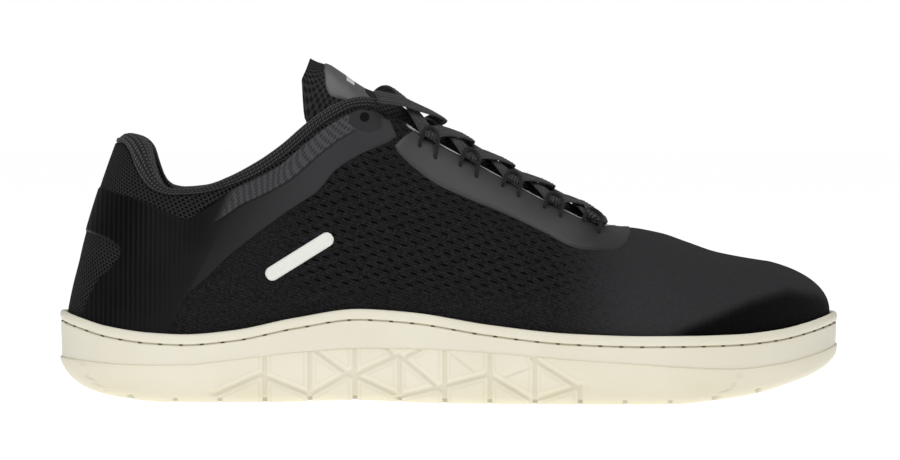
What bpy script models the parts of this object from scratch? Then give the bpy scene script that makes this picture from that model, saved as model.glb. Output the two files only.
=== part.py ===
"""Barefoot shoe for the right foot: a knit upper on a flat cup sole.

The shoe stands on z = 0 with its toe towards +X and its outer (lateral) side towards -Y.
Every upper piece is a patch of one surface, the last: ribs that climb from the sole's
rim to a ridge line above the foot. The pieces differ only in where they stop on the ribs
and how far they stand from the last.
"""

import math

import bmesh
import bpy
import numpy as np

MM = 0.001

# Driving sizes
LENGTH = 286 * MM
BALL_WIDTH = 104 * MM
WALL_HEIGHT = 34 * MM
INSTEP_HEIGHT = 110 * MM
TREAD_RISE = 15 * MM

# Sole
OUTSOLE_FLOOR = 4.5 * MM
MIDSOLE_FLOOR = 3.2 * MM
TRAY_FOLLOW = 0.80
BED_FOLLOW = 0.65
INSOLE_THICKNESS = 3.5 * MM
LIP_WIDTH = 2.0 * MM
RIM_WIDTH = 2.8 * MM
RIM_DEPTH = 3.9 * MM
GROOVE_DEPTH = 0.9 * MM
STEP_INSET = 0.6 * MM

# Tread. Its gaps stand at shares of LENGTH.
LUG_START = 0.0965
LUG_PITCH = 0.05665
LUG_COUNT = 15
LUG_GAP = 1.7 * MM
LUG_DEPTH = 2.0 * MM
FACET_GAP = 1.2 * MM
FACET_DEPTH = 0.9 * MM

# Upper
CLEARANCE = 0.3 * MM
UPPER_WALL = 2.0 * MM
FILM_STAND = 0.6 * MM
FILM = 0.6 * MM
FILM_STEP = 10 * MM
LINING_PAD = 5.0 * MM
LINING_DEPTH = 24 * MM
LINING_PROUD = 0.8 * MM
TONGUE_THICKNESS = 5.0 * MM
LABEL_THICKNESS = 0.8 * MM
MARK_WIDTH = 5.2 * MM

# Lacing
LACE_WIDTH = 6.4 * MM
LACE_THICKNESS = 1.5 * MM
LOOP_CORD = 1.4 * MM
LOOP_WIDTH = 6.6 * MM
LOOP_LENGTH = 7.5 * MM
LOOP_COUNT = 5

# Faces along each side of the shoe, and up the upper's wall
SIDE_STATIONS = 30
WALL_ROWS = 6

LATERAL = -1
MEDIAL = 1

# The sole seen from above, from the heel's back round the lateral side to the toe and
# back along the medial side.
# Columns: along (share of LENGTH), across (share of BALL_WIDTH).
OUTLINE = (
    (0.000, -0.010),
    (0.022, -0.190),
    (0.075, -0.305),
    (0.160, -0.350),
    (0.270, -0.352),
    (0.400, -0.375),
    (0.530, -0.437),
    (0.660, -0.492),
    (0.760, -0.490),
    (0.850, -0.425),
    (0.925, -0.300),
    (0.978, -0.110),
    (1.000, 0.110),
    (0.988, 0.285),
    (0.940, 0.415),
    (0.860, 0.482),
    (0.740, 0.503),
    (0.620, 0.470),
    (0.500, 0.385),
    (0.390, 0.325),
    (0.270, 0.315),
    (0.160, 0.322),
    (0.075, 0.280),
    (0.022, 0.170),
)

# The sole seen from the side.
# Columns: along (share of LENGTH), top of the rim and top of the outsole (shares of
# WALL_HEIGHT).
SIDE_LINES = (
    (0.000, 0.965, 0.455),
    (0.030, 0.890, 0.437),
    (0.065, 0.810, 0.415),
    (0.120, 0.745, 0.400),
    (0.165, 0.728, 0.404),
    (0.225, 0.770, 0.456),
    (0.305, 0.905, 0.535),
    (0.385, 1.000, 0.582),
    (0.450, 0.968, 0.585),
    (0.550, 0.840, 0.547),
    (0.650, 0.753, 0.480),
    (0.750, 0.727, 0.423),
    (0.800, 0.727, 0.392),
    (0.860, 0.735, 0.370),
    (0.915, 0.774, 0.408),
    (0.955, 0.838, 0.470),
    (0.985, 0.900, 0.535),
    (1.000, 0.930, 0.575),
)

# The underside: flat under heel and ball, a shallow arch, a bevelled heel and toe spring.
# Columns: along (share of LENGTH), height (share of TREAD_RISE).
TREAD_LINE = (
    (0.000, 0.860),
    (0.010, 0.640),
    (0.020, 0.480),
    (0.042, 0.270),
    (0.070, 0.145),
    (0.110, 0.040),
    (0.145, 0.000),
    (0.270, 0.000),
    (0.380, 0.060),
    (0.490, 0.000),
    (0.780, 0.000),
    (0.840, 0.100),
    (0.875, 0.185),
    (0.905, 0.300),
    (0.930, 0.425),
    (0.955, 0.560),
    (0.975, 0.710),
    (1.000, 0.970),
)

# How the outsole's side turns under.
# Columns: inset from the outline (share of RIM_WIDTH), height (share of the way from the
# underside to the top of the outsole).
TURN_UNDER = (
    (1.90, 0.00),
    (0.85, 0.06),
    (0.32, 0.22),
    (0.06, 0.55),
    (0.00, 0.94),
    (0.20, 1.00),
)

# The ridge above the foot, which the ribs climb to. Behind the throat it is the last's
# own cone, above the collar.
# Columns: along (share of LENGTH), across (share of BALL_WIDTH), height (share of
# INSTEP_HEIGHT).
RIDGE = (
    (0.120, 0.000, 1.170),
    (0.220, 0.000, 1.225),
    (0.300, 0.000, 1.220),
    (0.335, 0.005, 1.205),
    (0.355, 0.008, 1.178),
    (0.375, 0.012, 1.132),
    (0.392, 0.016, 1.086),
    (0.410, 0.020, 1.042),
    (0.430, 0.025, 1.002),
    (0.448, 0.030, 0.966),
    (0.486, 0.038, 0.905),
    (0.525, 0.046, 0.845),
    (0.565, 0.055, 0.782),
    (0.604, 0.063, 0.727),
    (0.642, 0.070, 0.677),
    (0.680, 0.078, 0.618),
    (0.700, 0.082, 0.586),
    (0.718, 0.086, 0.568),
    (0.737, 0.090, 0.562),
    (0.773, 0.096, 0.546),
    (0.805, 0.100, 0.518),
    (0.842, 0.104, 0.485),
    (0.878, 0.106, 0.466),
    (0.912, 0.108, 0.452),
)
HEEL_POLE = 0.125
TOE_POLE = 0.912
HEEL_FAN = 0.290
TOE_FAN = 0.780
FAN_SPREAD = 0.55

# Each rib's two inner handles.
# Columns: share of the way from heel to toe round the outline, rise and bulge of the
# lower handle (shares of the rib's height and of BALL_WIDTH), reach and drop of the
# upper handle (shares of the rib's width and height).
RIBS = (
    (0.00, 0.205, -0.036, 0.590, 0.400),
    (0.07, 0.250, -0.024, 0.640, 0.360),
    (0.13, 0.320, -0.006, 0.700, 0.290),
    (0.20, 0.380, 0.008, 0.745, 0.220),
    (0.30, 0.430, 0.012, 0.720, 0.070),
    (0.42, 0.500, 0.010, 0.670, 0.020),
    (0.55, 0.550, 0.010, 0.580, 0.010),
    (0.70, 0.550, 0.014, 0.550, 0.030),
    (0.85, 0.560, 0.012, 0.590, 0.100),
    (1.00, 0.470, 0.003, 0.600, 0.180),
)

# The edge of the upper's collar seen from the side, as far as the throat.
# Columns: along (share of LENGTH), height (share of INSTEP_HEIGHT).
TOPLINE = (
    (0.000, 0.853),
    (0.080, 0.852),
    (0.090, 0.825),
    (0.099, 0.772),
    (0.108, 0.733),
    (0.118, 0.705),
    (0.130, 0.690),
    (0.149, 0.682),
    (0.180, 0.686),
    (0.243, 0.733),
    (0.285, 0.798),
    (0.333, 0.902),
    (0.355, 0.940),
    (0.377, 0.968),
    (0.395, 0.972),
    (0.412, 0.957),
    (0.447, 0.918),
    (0.480, 0.872),
)
THROAT_TOP = 0.440
THROAT_FRONT = 0.7085

# The throat's edge seen from above, down to its rounded front.
# Columns: along (share of LENGTH), distance from the ridge to the lateral and to the
# medial edge (shares of BALL_WIDTH).
THROAT = (
    (0.440, 0.175, 0.105),
    (0.500, 0.194, 0.110),
    (0.560, 0.207, 0.117),
    (0.600, 0.223, 0.128),
    (0.630, 0.238, 0.134),
    (0.655, 0.240, 0.126),
    (0.680, 0.190, 0.098),
    (0.695, 0.124, 0.064),
    (0.704, 0.056, 0.030),
    (0.7085, 0.000, 0.000),
)

# The rolled top of the padded lining, seen from the side.
# Columns as for TOPLINE.
ROLL_LINE = (
    (0.000, 0.866),
    (0.076, 0.870),
    (0.088, 0.886),
    (0.100, 0.880),
    (0.108, 0.862),
    (0.113, 0.838),
    (0.119, 0.795),
    (0.125, 0.757),
    (0.133, 0.727),
    (0.143, 0.709),
    (0.156, 0.703),
    (0.181, 0.708),
    (0.217, 0.741),
    (0.257, 0.797),
    (0.286, 0.850),
    (0.318, 0.922),
    (0.345, 0.972),
    (0.367, 0.998),
    (0.387, 1.008),
    (0.405, 1.000),
    (0.420, 0.985),
)
LINING_TAPER = 0.300
LINING_END = 0.398

# The film pressed over heel and quarter, seen from the side, as pairs of points on its
# upper and its lower edge, from the heel's back to the throat.
# Columns: upper along and height, lower along and height (shares of LENGTH and of
# INSTEP_HEIGHT). An along of zero is the heel's back, a height of zero is the rim.
HEEL_FILM = (
    (0.000, 0.700, 0.000, 0.552),
    (0.066, 0.692, 0.056, 0.541),
    (0.092, 0.676, 0.079, 0.510),
    (0.120, 0.650, 0.082, 0.479),
    (0.150, 0.617, 0.066, 0.430),
    (0.168, 0.602, 0.048, 0.382),
    (0.190, 0.640, 0.028, 0.000),
    (0.205, 0.664, 0.075, 0.000),
    (0.225, 0.700, 0.126, 0.000),
    (0.250, 0.730, 0.153, 0.312),
    (0.270, 0.757, 0.195, 0.416),
    (0.290, 0.790, 0.231, 0.504),
    (0.320, 0.858, 0.290, 0.619),
    (0.345, 0.908, 0.332, 0.692),
    (0.362, 0.934, 0.353, 0.756),
    (0.382, 0.953, 0.383, 0.810),
    (0.403, 0.950, 0.418, 0.850),
    (0.424, 0.925, 0.433, 0.872),
)

# The eyestay film, as pairs of points on the throat's edge and on its outer edge, from
# the top of the throat to its front.
# Columns: inner along, outer along and height (shares of LENGTH and INSTEP_HEIGHT). A
# height of zero is the ridge.
EYESTAY = (
    (0.449, 0.430, 0.842),
    (0.453, 0.434, 0.822),
    (0.470, 0.452, 0.776),
    (0.500, 0.484, 0.716),
    (0.540, 0.528, 0.664),
    (0.585, 0.573, 0.616),
    (0.625, 0.618, 0.560),
    (0.660, 0.655, 0.514),
    (0.685, 0.690, 0.506),
    (0.698, 0.722, 0.515),
    (0.7085, 0.732, 0.000),
)
EYESTAY_MARGIN = 0.8 * MM

# The tongue, from its top to its root under the vamp.
# Columns: along (share of LENGTH), lateral and medial half width (shares of BALL_WIDTH),
# depth below the last (share of LINING_PAD), thickness (share of TONGUE_THICKNESS).
TONGUE = (
    (0.340, 0.200, 0.175, 1.750, 0.300),
    (0.348, 0.235, 0.200, 1.700, 0.700),
    (0.360, 0.240, 0.205, 1.600, 1.000),
    (0.374, 0.235, 0.195, 1.420, 1.000),
    (0.387, 0.225, 0.180, 1.220, 1.000),
    (0.400, 0.212, 0.162, 1.000, 1.000),
    (0.415, 0.208, 0.155, 0.780, 1.000),
    (0.435, 0.215, 0.150, 0.640, 1.000),
    (0.480, 0.228, 0.152, 0.600, 0.900),
    (0.560, 0.252, 0.158, 0.600, 0.800),
    (0.620, 0.278, 0.174, 0.600, 0.700),
    (0.660, 0.275, 0.167, 0.600, 0.600),
    (0.700, 0.205, 0.130, 0.600, 0.500),
    (0.735, 0.140, 0.100, 0.600, 0.300),
)
TONGUE_BEND = 0.388
TONGUE_SWEEP = 0.030
TONGUE_LEVEL = 0.430

# The plain bar on the lateral quarter, seen from the side.
# Columns: along (share of LENGTH), height (share of INSTEP_HEIGHT).
MARK_ENDS = ((0.268, 0.412), (0.352, 0.548))

# The lace loops along each side of the throat, from the top one to the lowest.
# Columns: along (share of LENGTH).
LOOP_PLACES = (0.466, 0.517, 0.570, 0.622, 0.672)

# The course of one loop's cord.
# Columns: along (share of LOOP_WIDTH), out from the throat's edge (share of LOOP_LENGTH),
# clear of the last (share of LACE_THICKNESS).
LOOP_COURSE = (
    (-0.50, 1.20, 1.55),
    (-0.50, 0.86, 1.75),
    (-0.49, 0.58, 2.80),
    (-0.44, 0.20, 3.20),
    (-0.25, -0.10, 3.20),
    (0.25, -0.10, 3.20),
    (0.44, 0.20, 3.20),
    (0.49, 0.58, 2.80),
    (0.50, 0.86, 1.75),
    (0.50, 1.20, 1.55),
)

# The top eyelets, past which the lace's ends are hidden.
EYELET_ALONG = 0.408
EYELET_REACH = 0.182
EYELET_LIFT = 1.2 * MM
LACE_SEAT = 0.20
LACE_TUCK = 0.05
LACE_CLEAR = 0.8 * MM
BAR_ALONG = 0.676
BAR_WIDTH = 1.35

# Slanted grooves pressed into the outsole's side, seen from the side.
# Columns: start along and height, end along and height (shares of LENGTH and
# WALL_HEIGHT).
FACETS = (
    (0.212, 0.124, 0.259, 0.297),
    (0.269, 0.275, 0.318, 0.113),
    (0.328, 0.113, 0.371, 0.318),
    (0.336, 0.520, 0.367, 0.335),
    (0.383, 0.318, 0.425, 0.480),
    (0.380, 0.297, 0.431, 0.103),
    (0.441, 0.480, 0.483, 0.189),
    (0.438, 0.081, 0.474, 0.157),
    (0.494, 0.200, 0.543, 0.308),
    (0.503, 0.525, 0.531, 0.340),
    (0.552, 0.297, 0.601, 0.060),
    (0.568, 0.290, 0.600, 0.394),
    (0.609, 0.459, 0.657, 0.210),
    (0.608, 0.060, 0.656, 0.189),
)

# Upright grooves, each above a lug gap.
# Columns: which gap, counted from the heel, and the groove's top (share of WALL_HEIGHT).
UPRIGHTS = (
    (3, 0.520),
    (4, 0.590),
    (5, 0.620),
    (6, 0.459),
    (7, 0.620),
    (8, 0.600),
    (9, 0.560),
    (10, 0.190),
)


def monotone(table, at):
    """Values of every later column of a table at the given first-column places.

    A cubic through the rows whose slopes never overshoot, held flat beyond the ends.
    """
    rows = np.asarray(table, float)
    x = rows[:, 0]
    y = rows[:, 1:]
    width = np.diff(x)[:, None]
    slope = np.diff(y, axis=0) / width
    tangent = np.zeros_like(y)
    same = slope[:-1] * slope[1:] > 0
    mean = 2 * slope[:-1] * slope[1:] / np.where(same, slope[:-1] + slope[1:], 1)
    tangent[1:-1] = np.where(same, mean, 0)
    tangent[0] = slope[0]
    tangent[-1] = slope[-1]
    place = np.clip(np.asarray(at, float), x[0], x[-1])
    i = np.clip(np.searchsorted(x, place, side="right") - 1, 0, len(x) - 2)
    h = width[i]
    u = ((place - x[i]) / h[..., 0])[..., None]
    first = (1 + 2 * u) * (1 - u) ** 2 * y[i] + u * (1 - u) ** 2 * h * tangent[i]
    second = u * u * (3 - 2 * u) * y[i + 1] + u * u * (u - 1) * h * tangent[i + 1]
    return first + second


def closed_spline(points, samples):
    """A smooth closed curve through the points: a periodic cubic spline by chord length."""
    p = np.asarray(points, float)
    n = len(p)
    chord = np.linalg.norm(np.roll(p, -1, axis=0) - p, axis=1)
    before = np.roll(chord, 1)
    system = np.zeros((n, n))
    rows = np.arange(n)
    system[rows, (rows - 1) % n] = chord
    system[rows, rows] = 2 * (before + chord)
    system[rows, (rows + 1) % n] = before
    ahead = (np.roll(p, -1, axis=0) - p) / chord[:, None]
    behind = np.roll(ahead, 1, axis=0)
    tangent = np.linalg.solve(system, 3 * (chord[:, None] * behind + before[:, None] * ahead))
    u = np.linspace(0, 1, samples, endpoint=False)[None, :, None]
    start = p[:, None]
    end = np.roll(p, -1, axis=0)[:, None]
    span = chord[:, None, None]
    leave = tangent[:, None] * span
    arrive = np.roll(tangent, -1, axis=0)[:, None] * span
    curve = (1 + 2 * u) * (1 - u) ** 2 * start + u * (1 - u) ** 2 * leave
    curve = curve + u * u * (3 - 2 * u) * end + u * u * (u - 1) * arrive
    return curve.reshape(-1, 2)


def side_curves():
    """The outline's two halves, each from the heel's back to the toe's tip.

    Returns for each side the share of its length at each sample, the samples and the
    outward directions.
    """
    loop = closed_spline(np.array(OUTLINE) * (LENGTH, BALL_WIDTH), 40)
    loop[:, 0] -= loop[:, 0].min()
    loop[:, 0] *= LENGTH / loop[:, 0].max()
    run = np.roll(loop, -1, axis=0) - np.roll(loop, 1, axis=0)
    out = np.stack([run[:, 1], -run[:, 0]], axis=1)
    out /= np.linalg.norm(out, axis=1)[:, None]
    heel = int(np.argmin(loop[:, 0]))
    loop = np.roll(loop, -heel, axis=0)
    out = np.roll(out, -heel, axis=0)
    toe = int(np.argmax(loop[:, 0]))
    first = slice(0, toe + 1)
    halves = {LATERAL: (loop[first], out[first])}
    back = np.concatenate([loop[toe:], loop[:1]])[::-1]
    back_out = np.concatenate([out[toe:], out[:1]])[::-1]
    halves[MEDIAL] = (back, back_out)
    found = {}
    for side, (xy, outward) in halves.items():
        step = np.linalg.norm(np.diff(xy, axis=0), axis=1)
        share = np.concatenate([[0], np.cumsum(step)]) / step.sum()
        found[side] = (share, xy, outward)
    return found


CURVES = side_curves()
SHIFT = np.array(
    [
        -LENGTH / 2,
        -(CURVES[LATERAL][1][:, 1].min() + CURVES[MEDIAL][1][:, 1].max()) / 2,
        0,
    ]
)


def outline(side, share, inset):
    """Points of the sole's outline, moved inwards by inset, as (x, y)."""
    shares, xy, out = CURVES[side]
    at = np.stack([np.interp(share, shares, xy[:, k]) for k in (0, 1)], axis=-1)
    away = np.stack([np.interp(share, shares, out[:, k]) for k in (0, 1)], axis=-1)
    away /= np.linalg.norm(away, axis=-1, keepdims=True)
    inset = np.broadcast_to(np.asarray(inset, float), np.shape(share))
    return at - away * inset[..., None], away


def rim_top(x):
    """Height of the top of the sole's rim."""
    return monotone(SIDE_LINES, x / LENGTH)[..., 0] * WALL_HEIGHT


def outsole_top(x):
    """Height of the line where the outsole's side ends."""
    return monotone(SIDE_LINES, x / LENGTH)[..., 1] * WALL_HEIGHT


def underside(x):
    """Height of the tread above the floor."""
    return monotone(TREAD_LINE, x / LENGTH)[..., 0] * TREAD_RISE


def tray(x):
    """Height of the outsole's inner floor, which follows bevel and toe spring in part."""
    return TRAY_FOLLOW * underside(x) + OUTSOLE_FLOOR


def bed(x):
    """Height of the midsole's inner floor, flatter again than the tray."""
    return BED_FOLLOW * underside(x) + OUTSOLE_FLOOR + CLEARANCE + MIDSOLE_FLOOR


def foot_along(share):
    """How far along the shoe a rib starts, as a share of LENGTH, mean of both sides."""
    lateral = outline(LATERAL, share, 0)[0][..., 0]
    return 0.5 * (lateral + outline(MEDIAL, share, 0)[0][..., 0]) / LENGTH


def fan(share, start, pole):
    """Where the ribs that fan out to one end of the shoe meet the ridge.

    A cubic that leaves the straight ribs at start without a kink and ends at the pole.
    """
    shares = np.linspace(0, 1, 1001)
    whole = float(np.interp(start, foot_along(shares), shares))
    end = 0.0 if pole < 0.5 else 1.0
    step = 0.01 if end > whole else -0.01
    pace = (start - foot_along(np.array(whole - step))) / step * (end - whole)
    u = np.clip((share - whole) / (end - whole), 0, 1)
    stop = FAN_SPREAD * (pole - start)
    curve = (1 + 2 * u) * (1 - u) ** 2 * start + u * (1 - u) ** 2 * pace
    return curve + u * u * (3 - 2 * u) * pole + u * u * (u - 1) * stop


def ridge_along(share):
    """How far along the shoe a rib meets the ridge, in metres."""
    foot = foot_along(share)
    heel = foot < HEEL_FAN
    toe = foot > TOE_FAN
    along = np.where(heel, fan(share, HEEL_FAN, HEEL_POLE), foot)
    return np.where(toe, fan(share, TOE_FAN, TOE_POLE), along) * LENGTH


def last(side, share, climb):
    """Points of the last: share runs from heel to toe, climb from the rim 0 to the ridge 1.

    A climb below 0 goes down inside the sole's cup, to the midsole's floor at -1. Each rib
    is a cubic Bezier curve.
    """
    share, climb = np.broadcast_arrays(np.asarray(share, float), np.asarray(climb, float))
    foot, away = outline(side, share, RIM_WIDTH)
    start = np.concatenate([foot, rim_top(foot[..., 0])[..., None]], axis=-1)
    x = ridge_along(share)
    ridge = monotone(RIDGE, x / LENGTH)
    end = np.stack([x, ridge[..., 0] * BALL_WIDTH, ridge[..., 1] * INSTEP_HEIGHT], axis=-1)
    rise, bulge, reach, drop = np.moveaxis(monotone(RIBS, share), -1, 0)
    tall = end[..., 2] - start[..., 2]
    low = start.copy()
    low[..., 2] += rise * tall
    low[..., :2] += away * (bulge * BALL_WIDTH)[..., None]
    high = end.copy()
    high[..., 2] -= drop * tall
    high[..., :2] += reach[..., None] * (start - end)[..., :2]
    v = np.clip(climb, 0, 1)[..., None]
    point = (1 - v) ** 3 * start + 3 * v * (1 - v) ** 2 * low
    point = point + 3 * v * v * (1 - v) * high + v**3 * end
    down = np.clip(-climb, 0, 1)
    point[..., 2] -= down * (start[..., 2] - bed(foot[..., 0]) - CLEARANCE)
    return point


def facing(side, share, climb):
    """Outward directions of the last. On the ridge the two sides' directions are shared."""
    step = 1e-3
    share, climb = np.broadcast_arrays(np.asarray(share, float), np.asarray(climb, float))
    near = np.clip(climb, -1, 1 - 2 * step)
    total = np.zeros(share.shape + (3,))
    for this, used in ((side, np.ones(share.shape)), (-side, climb > 1 - 2 * step)):
        ahead = last(this, np.clip(share + step, 0, 1), near)
        behind = last(this, np.clip(share - step, 0, 1), near)
        over = last(-this, np.where(share < 0.5, step, 1 - step), near)
        behind = np.where((share < step)[..., None], over, behind)
        ahead = np.where((share > 1 - step)[..., None], over, ahead)
        up = last(this, share, near + step) - last(this, share, np.clip(near - step, -1, 1))
        out = np.cross(up, ahead - behind) * this
        out = out / np.linalg.norm(out, axis=-1, keepdims=True)
        total = total + out * used[..., None]
    return total / np.linalg.norm(total, axis=-1, keepdims=True)


def off_last(side, share, climb, stand):
    """Points that stand a distance off the last, outwards if it is positive."""
    share, climb = np.broadcast_arrays(np.asarray(share, float), np.asarray(climb, float))
    stand = np.broadcast_to(np.asarray(stand, float), share.shape)
    return last(side, share, climb) + facing(side, share, climb) * stand[..., None]


def first_above(side, share, test):
    """The climb at which each rib first passes a test: a function of its points that
    turns positive."""
    share = np.atleast_1d(np.asarray(share, float))
    climbs = np.linspace(0, 1, 401)
    points = last(side, share[:, None], climbs[None])
    over = test(points)
    above = over > 0
    first = np.argmax(above, axis=1)
    k = np.arange(len(share))
    before = np.clip(first - 1, 0, None)
    span = over[k, first] - over[k, before]
    part = np.where(first > 0, -over[k, before] / np.where(span == 0, 1, span), 0)
    found = climbs[before] + np.clip(part, 0, 1) * (climbs[1] - climbs[0])
    return np.where(above.any(axis=1), found, 1.0)


def climb_to_line(side, share, line):
    """The climb at which each rib rises above a line seen from the side."""

    def over(points):
        height = monotone(line, points[..., 0] / LENGTH)[..., 0]
        return points[..., 2] - height * INSTEP_HEIGHT

    return first_above(side, share, over)


def climb_to_reach(side, share, reach):
    """The climb at which each rib comes within a sideways reach of its own ridge point."""
    reach = np.broadcast_to(np.atleast_1d(np.asarray(reach, float)), np.shape(share))

    def over(points):
        away = np.abs(points[..., 1] - points[:, -1:, 1])
        return reach[:, None] - away

    return np.where(reach > 0, first_above(side, share, over), 1.0)


def climb_to_edge(side, share):
    """The climb of the upper's edge: collar, then throat. Ahead of the throat it is 1."""
    share = np.atleast_1d(np.asarray(share, float))
    x = ridge_along(share) / LENGTH
    column = 0 if side == LATERAL else 1
    reach = monotone(THROAT, x)[..., column] * BALL_WIDTH
    throat = climb_to_reach(side, share, reach)
    collar = climb_to_line(side, share, TOPLINE)
    edge = np.where(x < THROAT_TOP, collar, throat)
    return np.where((x > THROAT_TOP) & (reach < UPPER_WALL), 1.0, edge)


def share_at(along):
    """The share of the rib whose ridge point lies at a place along the shoe."""
    shares = np.linspace(0, 1, 2001)
    return np.interp(np.asarray(along, float) * LENGTH, ridge_along(shares), shares)


def crown(along, across, stand):
    """Points over the instep: along as a share of LENGTH, across from the ridge in metres
    (lateral is negative), and a distance off the last."""
    along, across, stand = np.broadcast_arrays(along, across, stand)
    share = share_at(along.ravel())
    found = np.zeros(share.shape + (3,))
    for side in (LATERAL, MEDIAL):
        here = across.ravel() * side >= 0 if side == MEDIAL else across.ravel() < 0
        if here.any():
            reach = np.maximum(np.abs(across.ravel()[here]), 1e-6)
            climb = climb_to_reach(side, share[here], reach)
            found[here] = off_last(side, share[here], climb, stand.ravel()[here])
    return found.reshape(along.shape + (3,))


def throat_reach(side, along):
    """Sideways distance from the ridge to the throat's edge."""
    return monotone(THROAT, along)[..., 0 if side == LATERAL else 1] * BALL_WIDTH


def seen_at(side, along, height):
    """Share and climb of the last's point that shows at a place in the side view.

    An along of zero is the heel's back, and a height of zero is the rim.
    """
    x = along * LENGTH
    z = height * INSTEP_HEIGHT
    if along == 0:
        climb = first_above(side, np.array([0.0]), lambda points: points[..., 2] - z)
        return np.array([0.0, climb[0]])
    if height == 0:
        shares = np.linspace(0, 1, 2001)
        foot = last(side, shares, 0.0)[:, 0]
        return np.array([np.interp(x, foot, shares), 0.012])
    shares = np.linspace(0, 1, 181)
    climbs = np.linspace(0, 1, 121)
    grid = last(side, shares[:, None], climbs[None])
    miss = (grid[..., 0] - x) ** 2 + (grid[..., 2] - z) ** 2
    i, j = np.unravel_index(int(np.argmin(miss)), miss.shape)
    guess = np.array([shares[i], climbs[j]])
    step = 1e-3
    for _ in range(8):
        here = last(side, guess[0], guess[1])[[0, 2]]
        along_share = last(side, guess[0] + step, guess[1])[[0, 2]] - here
        up_climb = last(side, guess[0], guess[1] + step)[[0, 2]] - here
        slopes = np.stack([along_share, up_climb], axis=1) / step
        move = np.linalg.lstsq(slopes, np.array([x, z]) - here, rcond=None)[0]
        guess = np.clip(guess + np.clip(move, -0.02, 0.02), 0.0, 1 - 2 * step)
    return guess


def stations(count):
    """Shares from heel to toe, closer together at both ends and at the throat's front."""
    t = np.linspace(0, 1, 2001)
    weight = 1 + 1.3 * np.exp(-((t / 0.09) ** 2)) + 1.1 * np.exp(-(((1 - t) / 0.09) ** 2))
    weight += 0.8 * np.exp(-(((t - 0.675) / 0.03) ** 2))
    grown = np.concatenate([[0], np.cumsum((weight[1:] + weight[:-1]) / 2)])
    return np.interp(np.linspace(0, grown[-1], count + 1), grown, t)


def collection(name):
    """A new collection in the scene."""
    made = bpy.data.collections.new(name)
    bpy.context.scene.collection.children.link(made)
    return made


def material(name, colour, roughness):
    """A plain Principled material from an sRGB hex colour."""
    made = bpy.data.materials.new(name)
    made.use_nodes = True
    shader = made.node_tree.nodes["Principled BSDF"]
    levels = [int(colour[k : k + 2], 16) / 255 for k in (0, 2, 4)]
    linear = [c / 12.92 if c <= 0.04045 else ((c + 0.055) / 1.055) ** 2.4 for c in levels]
    shader.inputs["Base Color"].default_value = (*linear, 1)
    shader.inputs["Roughness"].default_value = roughness
    return made


def piece(name, points, faces, finish, home, split=False):
    """One named solid from points in the shoe's own frame, with its faces turned out.

    split makes triangles of its faces, so that thin neighbours agree on their creases.
    """
    mesh = bpy.data.meshes.new(name)
    placed = np.asarray(points, float).reshape(-1, 3) + SHIFT
    mesh.from_pydata(placed.tolist(), [], [list(map(int, face)) for face in faces])
    shape = bmesh.new()
    shape.from_mesh(mesh)
    bmesh.ops.remove_doubles(shape, verts=shape.verts, dist=0.01 * MM)
    if split:
        bmesh.ops.triangulate(shape, faces=shape.faces)
    bmesh.ops.recalc_face_normals(shape, faces=shape.faces)
    if shape.calc_volume(signed=True) < 0:
        bmesh.ops.reverse_faces(shape, faces=shape.faces)
    shape.to_mesh(mesh)
    shape.free()
    mesh.shade_smooth()
    mesh.set_sharp_from_angle(angle=math.radians(35))
    mesh.materials.append(finish)
    made = bpy.data.objects.new(name, mesh)
    home.objects.link(made)
    return made


def grid_faces(rows, columns, offset=0, wrap=False):
    """Quads of a grid whose points run column by column within each row."""
    faces = []
    for i in range(rows - 1):
        for j in range(columns if wrap else columns - 1):
            k = (j + 1) % columns
            low = offset + i * columns
            high = low + columns
            faces.append((low + j, low + k, high + k, high + j))
    return faces


def cross_bars(side_count, offset):
    """Faces that close a ring by bars from its lateral to its medial side."""
    ring = 2 * side_count
    faces = [(offset, offset + 1, offset + ring - 1)]
    for i in range(1, side_count - 1):
        faces.append((offset + i, offset + i + 1, offset + ring - i - 1, offset + ring - i))
    middle = offset + side_count
    faces.append((middle - 1, middle, middle + 1))
    return faces


def sole_ring(inset, height):
    """One closed ring round the sole at an inset, its height a function of x."""
    share = stations(SIDE_STATIONS)
    halves = []
    for side in (LATERAL, MEDIAL):
        xy = outline(side, share, inset)[0]
        halves.append(np.concatenate([xy, height(xy[:, 0])[:, None]], axis=1))
    return np.concatenate([halves[0], halves[1][-2:0:-1]])


def sole_solid(name, rings, finish, home):
    """A solid from rings, closed by cross bars at its first and its last ring."""
    count = len(rings)
    columns = 2 * SIDE_STATIONS
    faces = grid_faces(count, columns, wrap=True)
    faces += cross_bars(SIDE_STATIONS, 0)
    faces += cross_bars(SIDE_STATIONS, (count - 1) * columns)
    return piece(name, np.concatenate(rings), faces, finish, home)


def outsole(finish, home):
    """The rubber outsole: a shallow tray whose side wraps up to the step line."""
    rings = []
    for inset, part in TURN_UNDER:

        def height(x, part=part):
            return underside(x) + part * (outsole_top(x) - underside(x))

        rings.append(sole_ring(inset * RIM_WIDTH, height))
    rings.append(sole_ring(LIP_WIDTH, outsole_top))
    rings.append(sole_ring(LIP_WIDTH, tray))
    return sole_solid("outsole", rings, finish, home)


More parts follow.
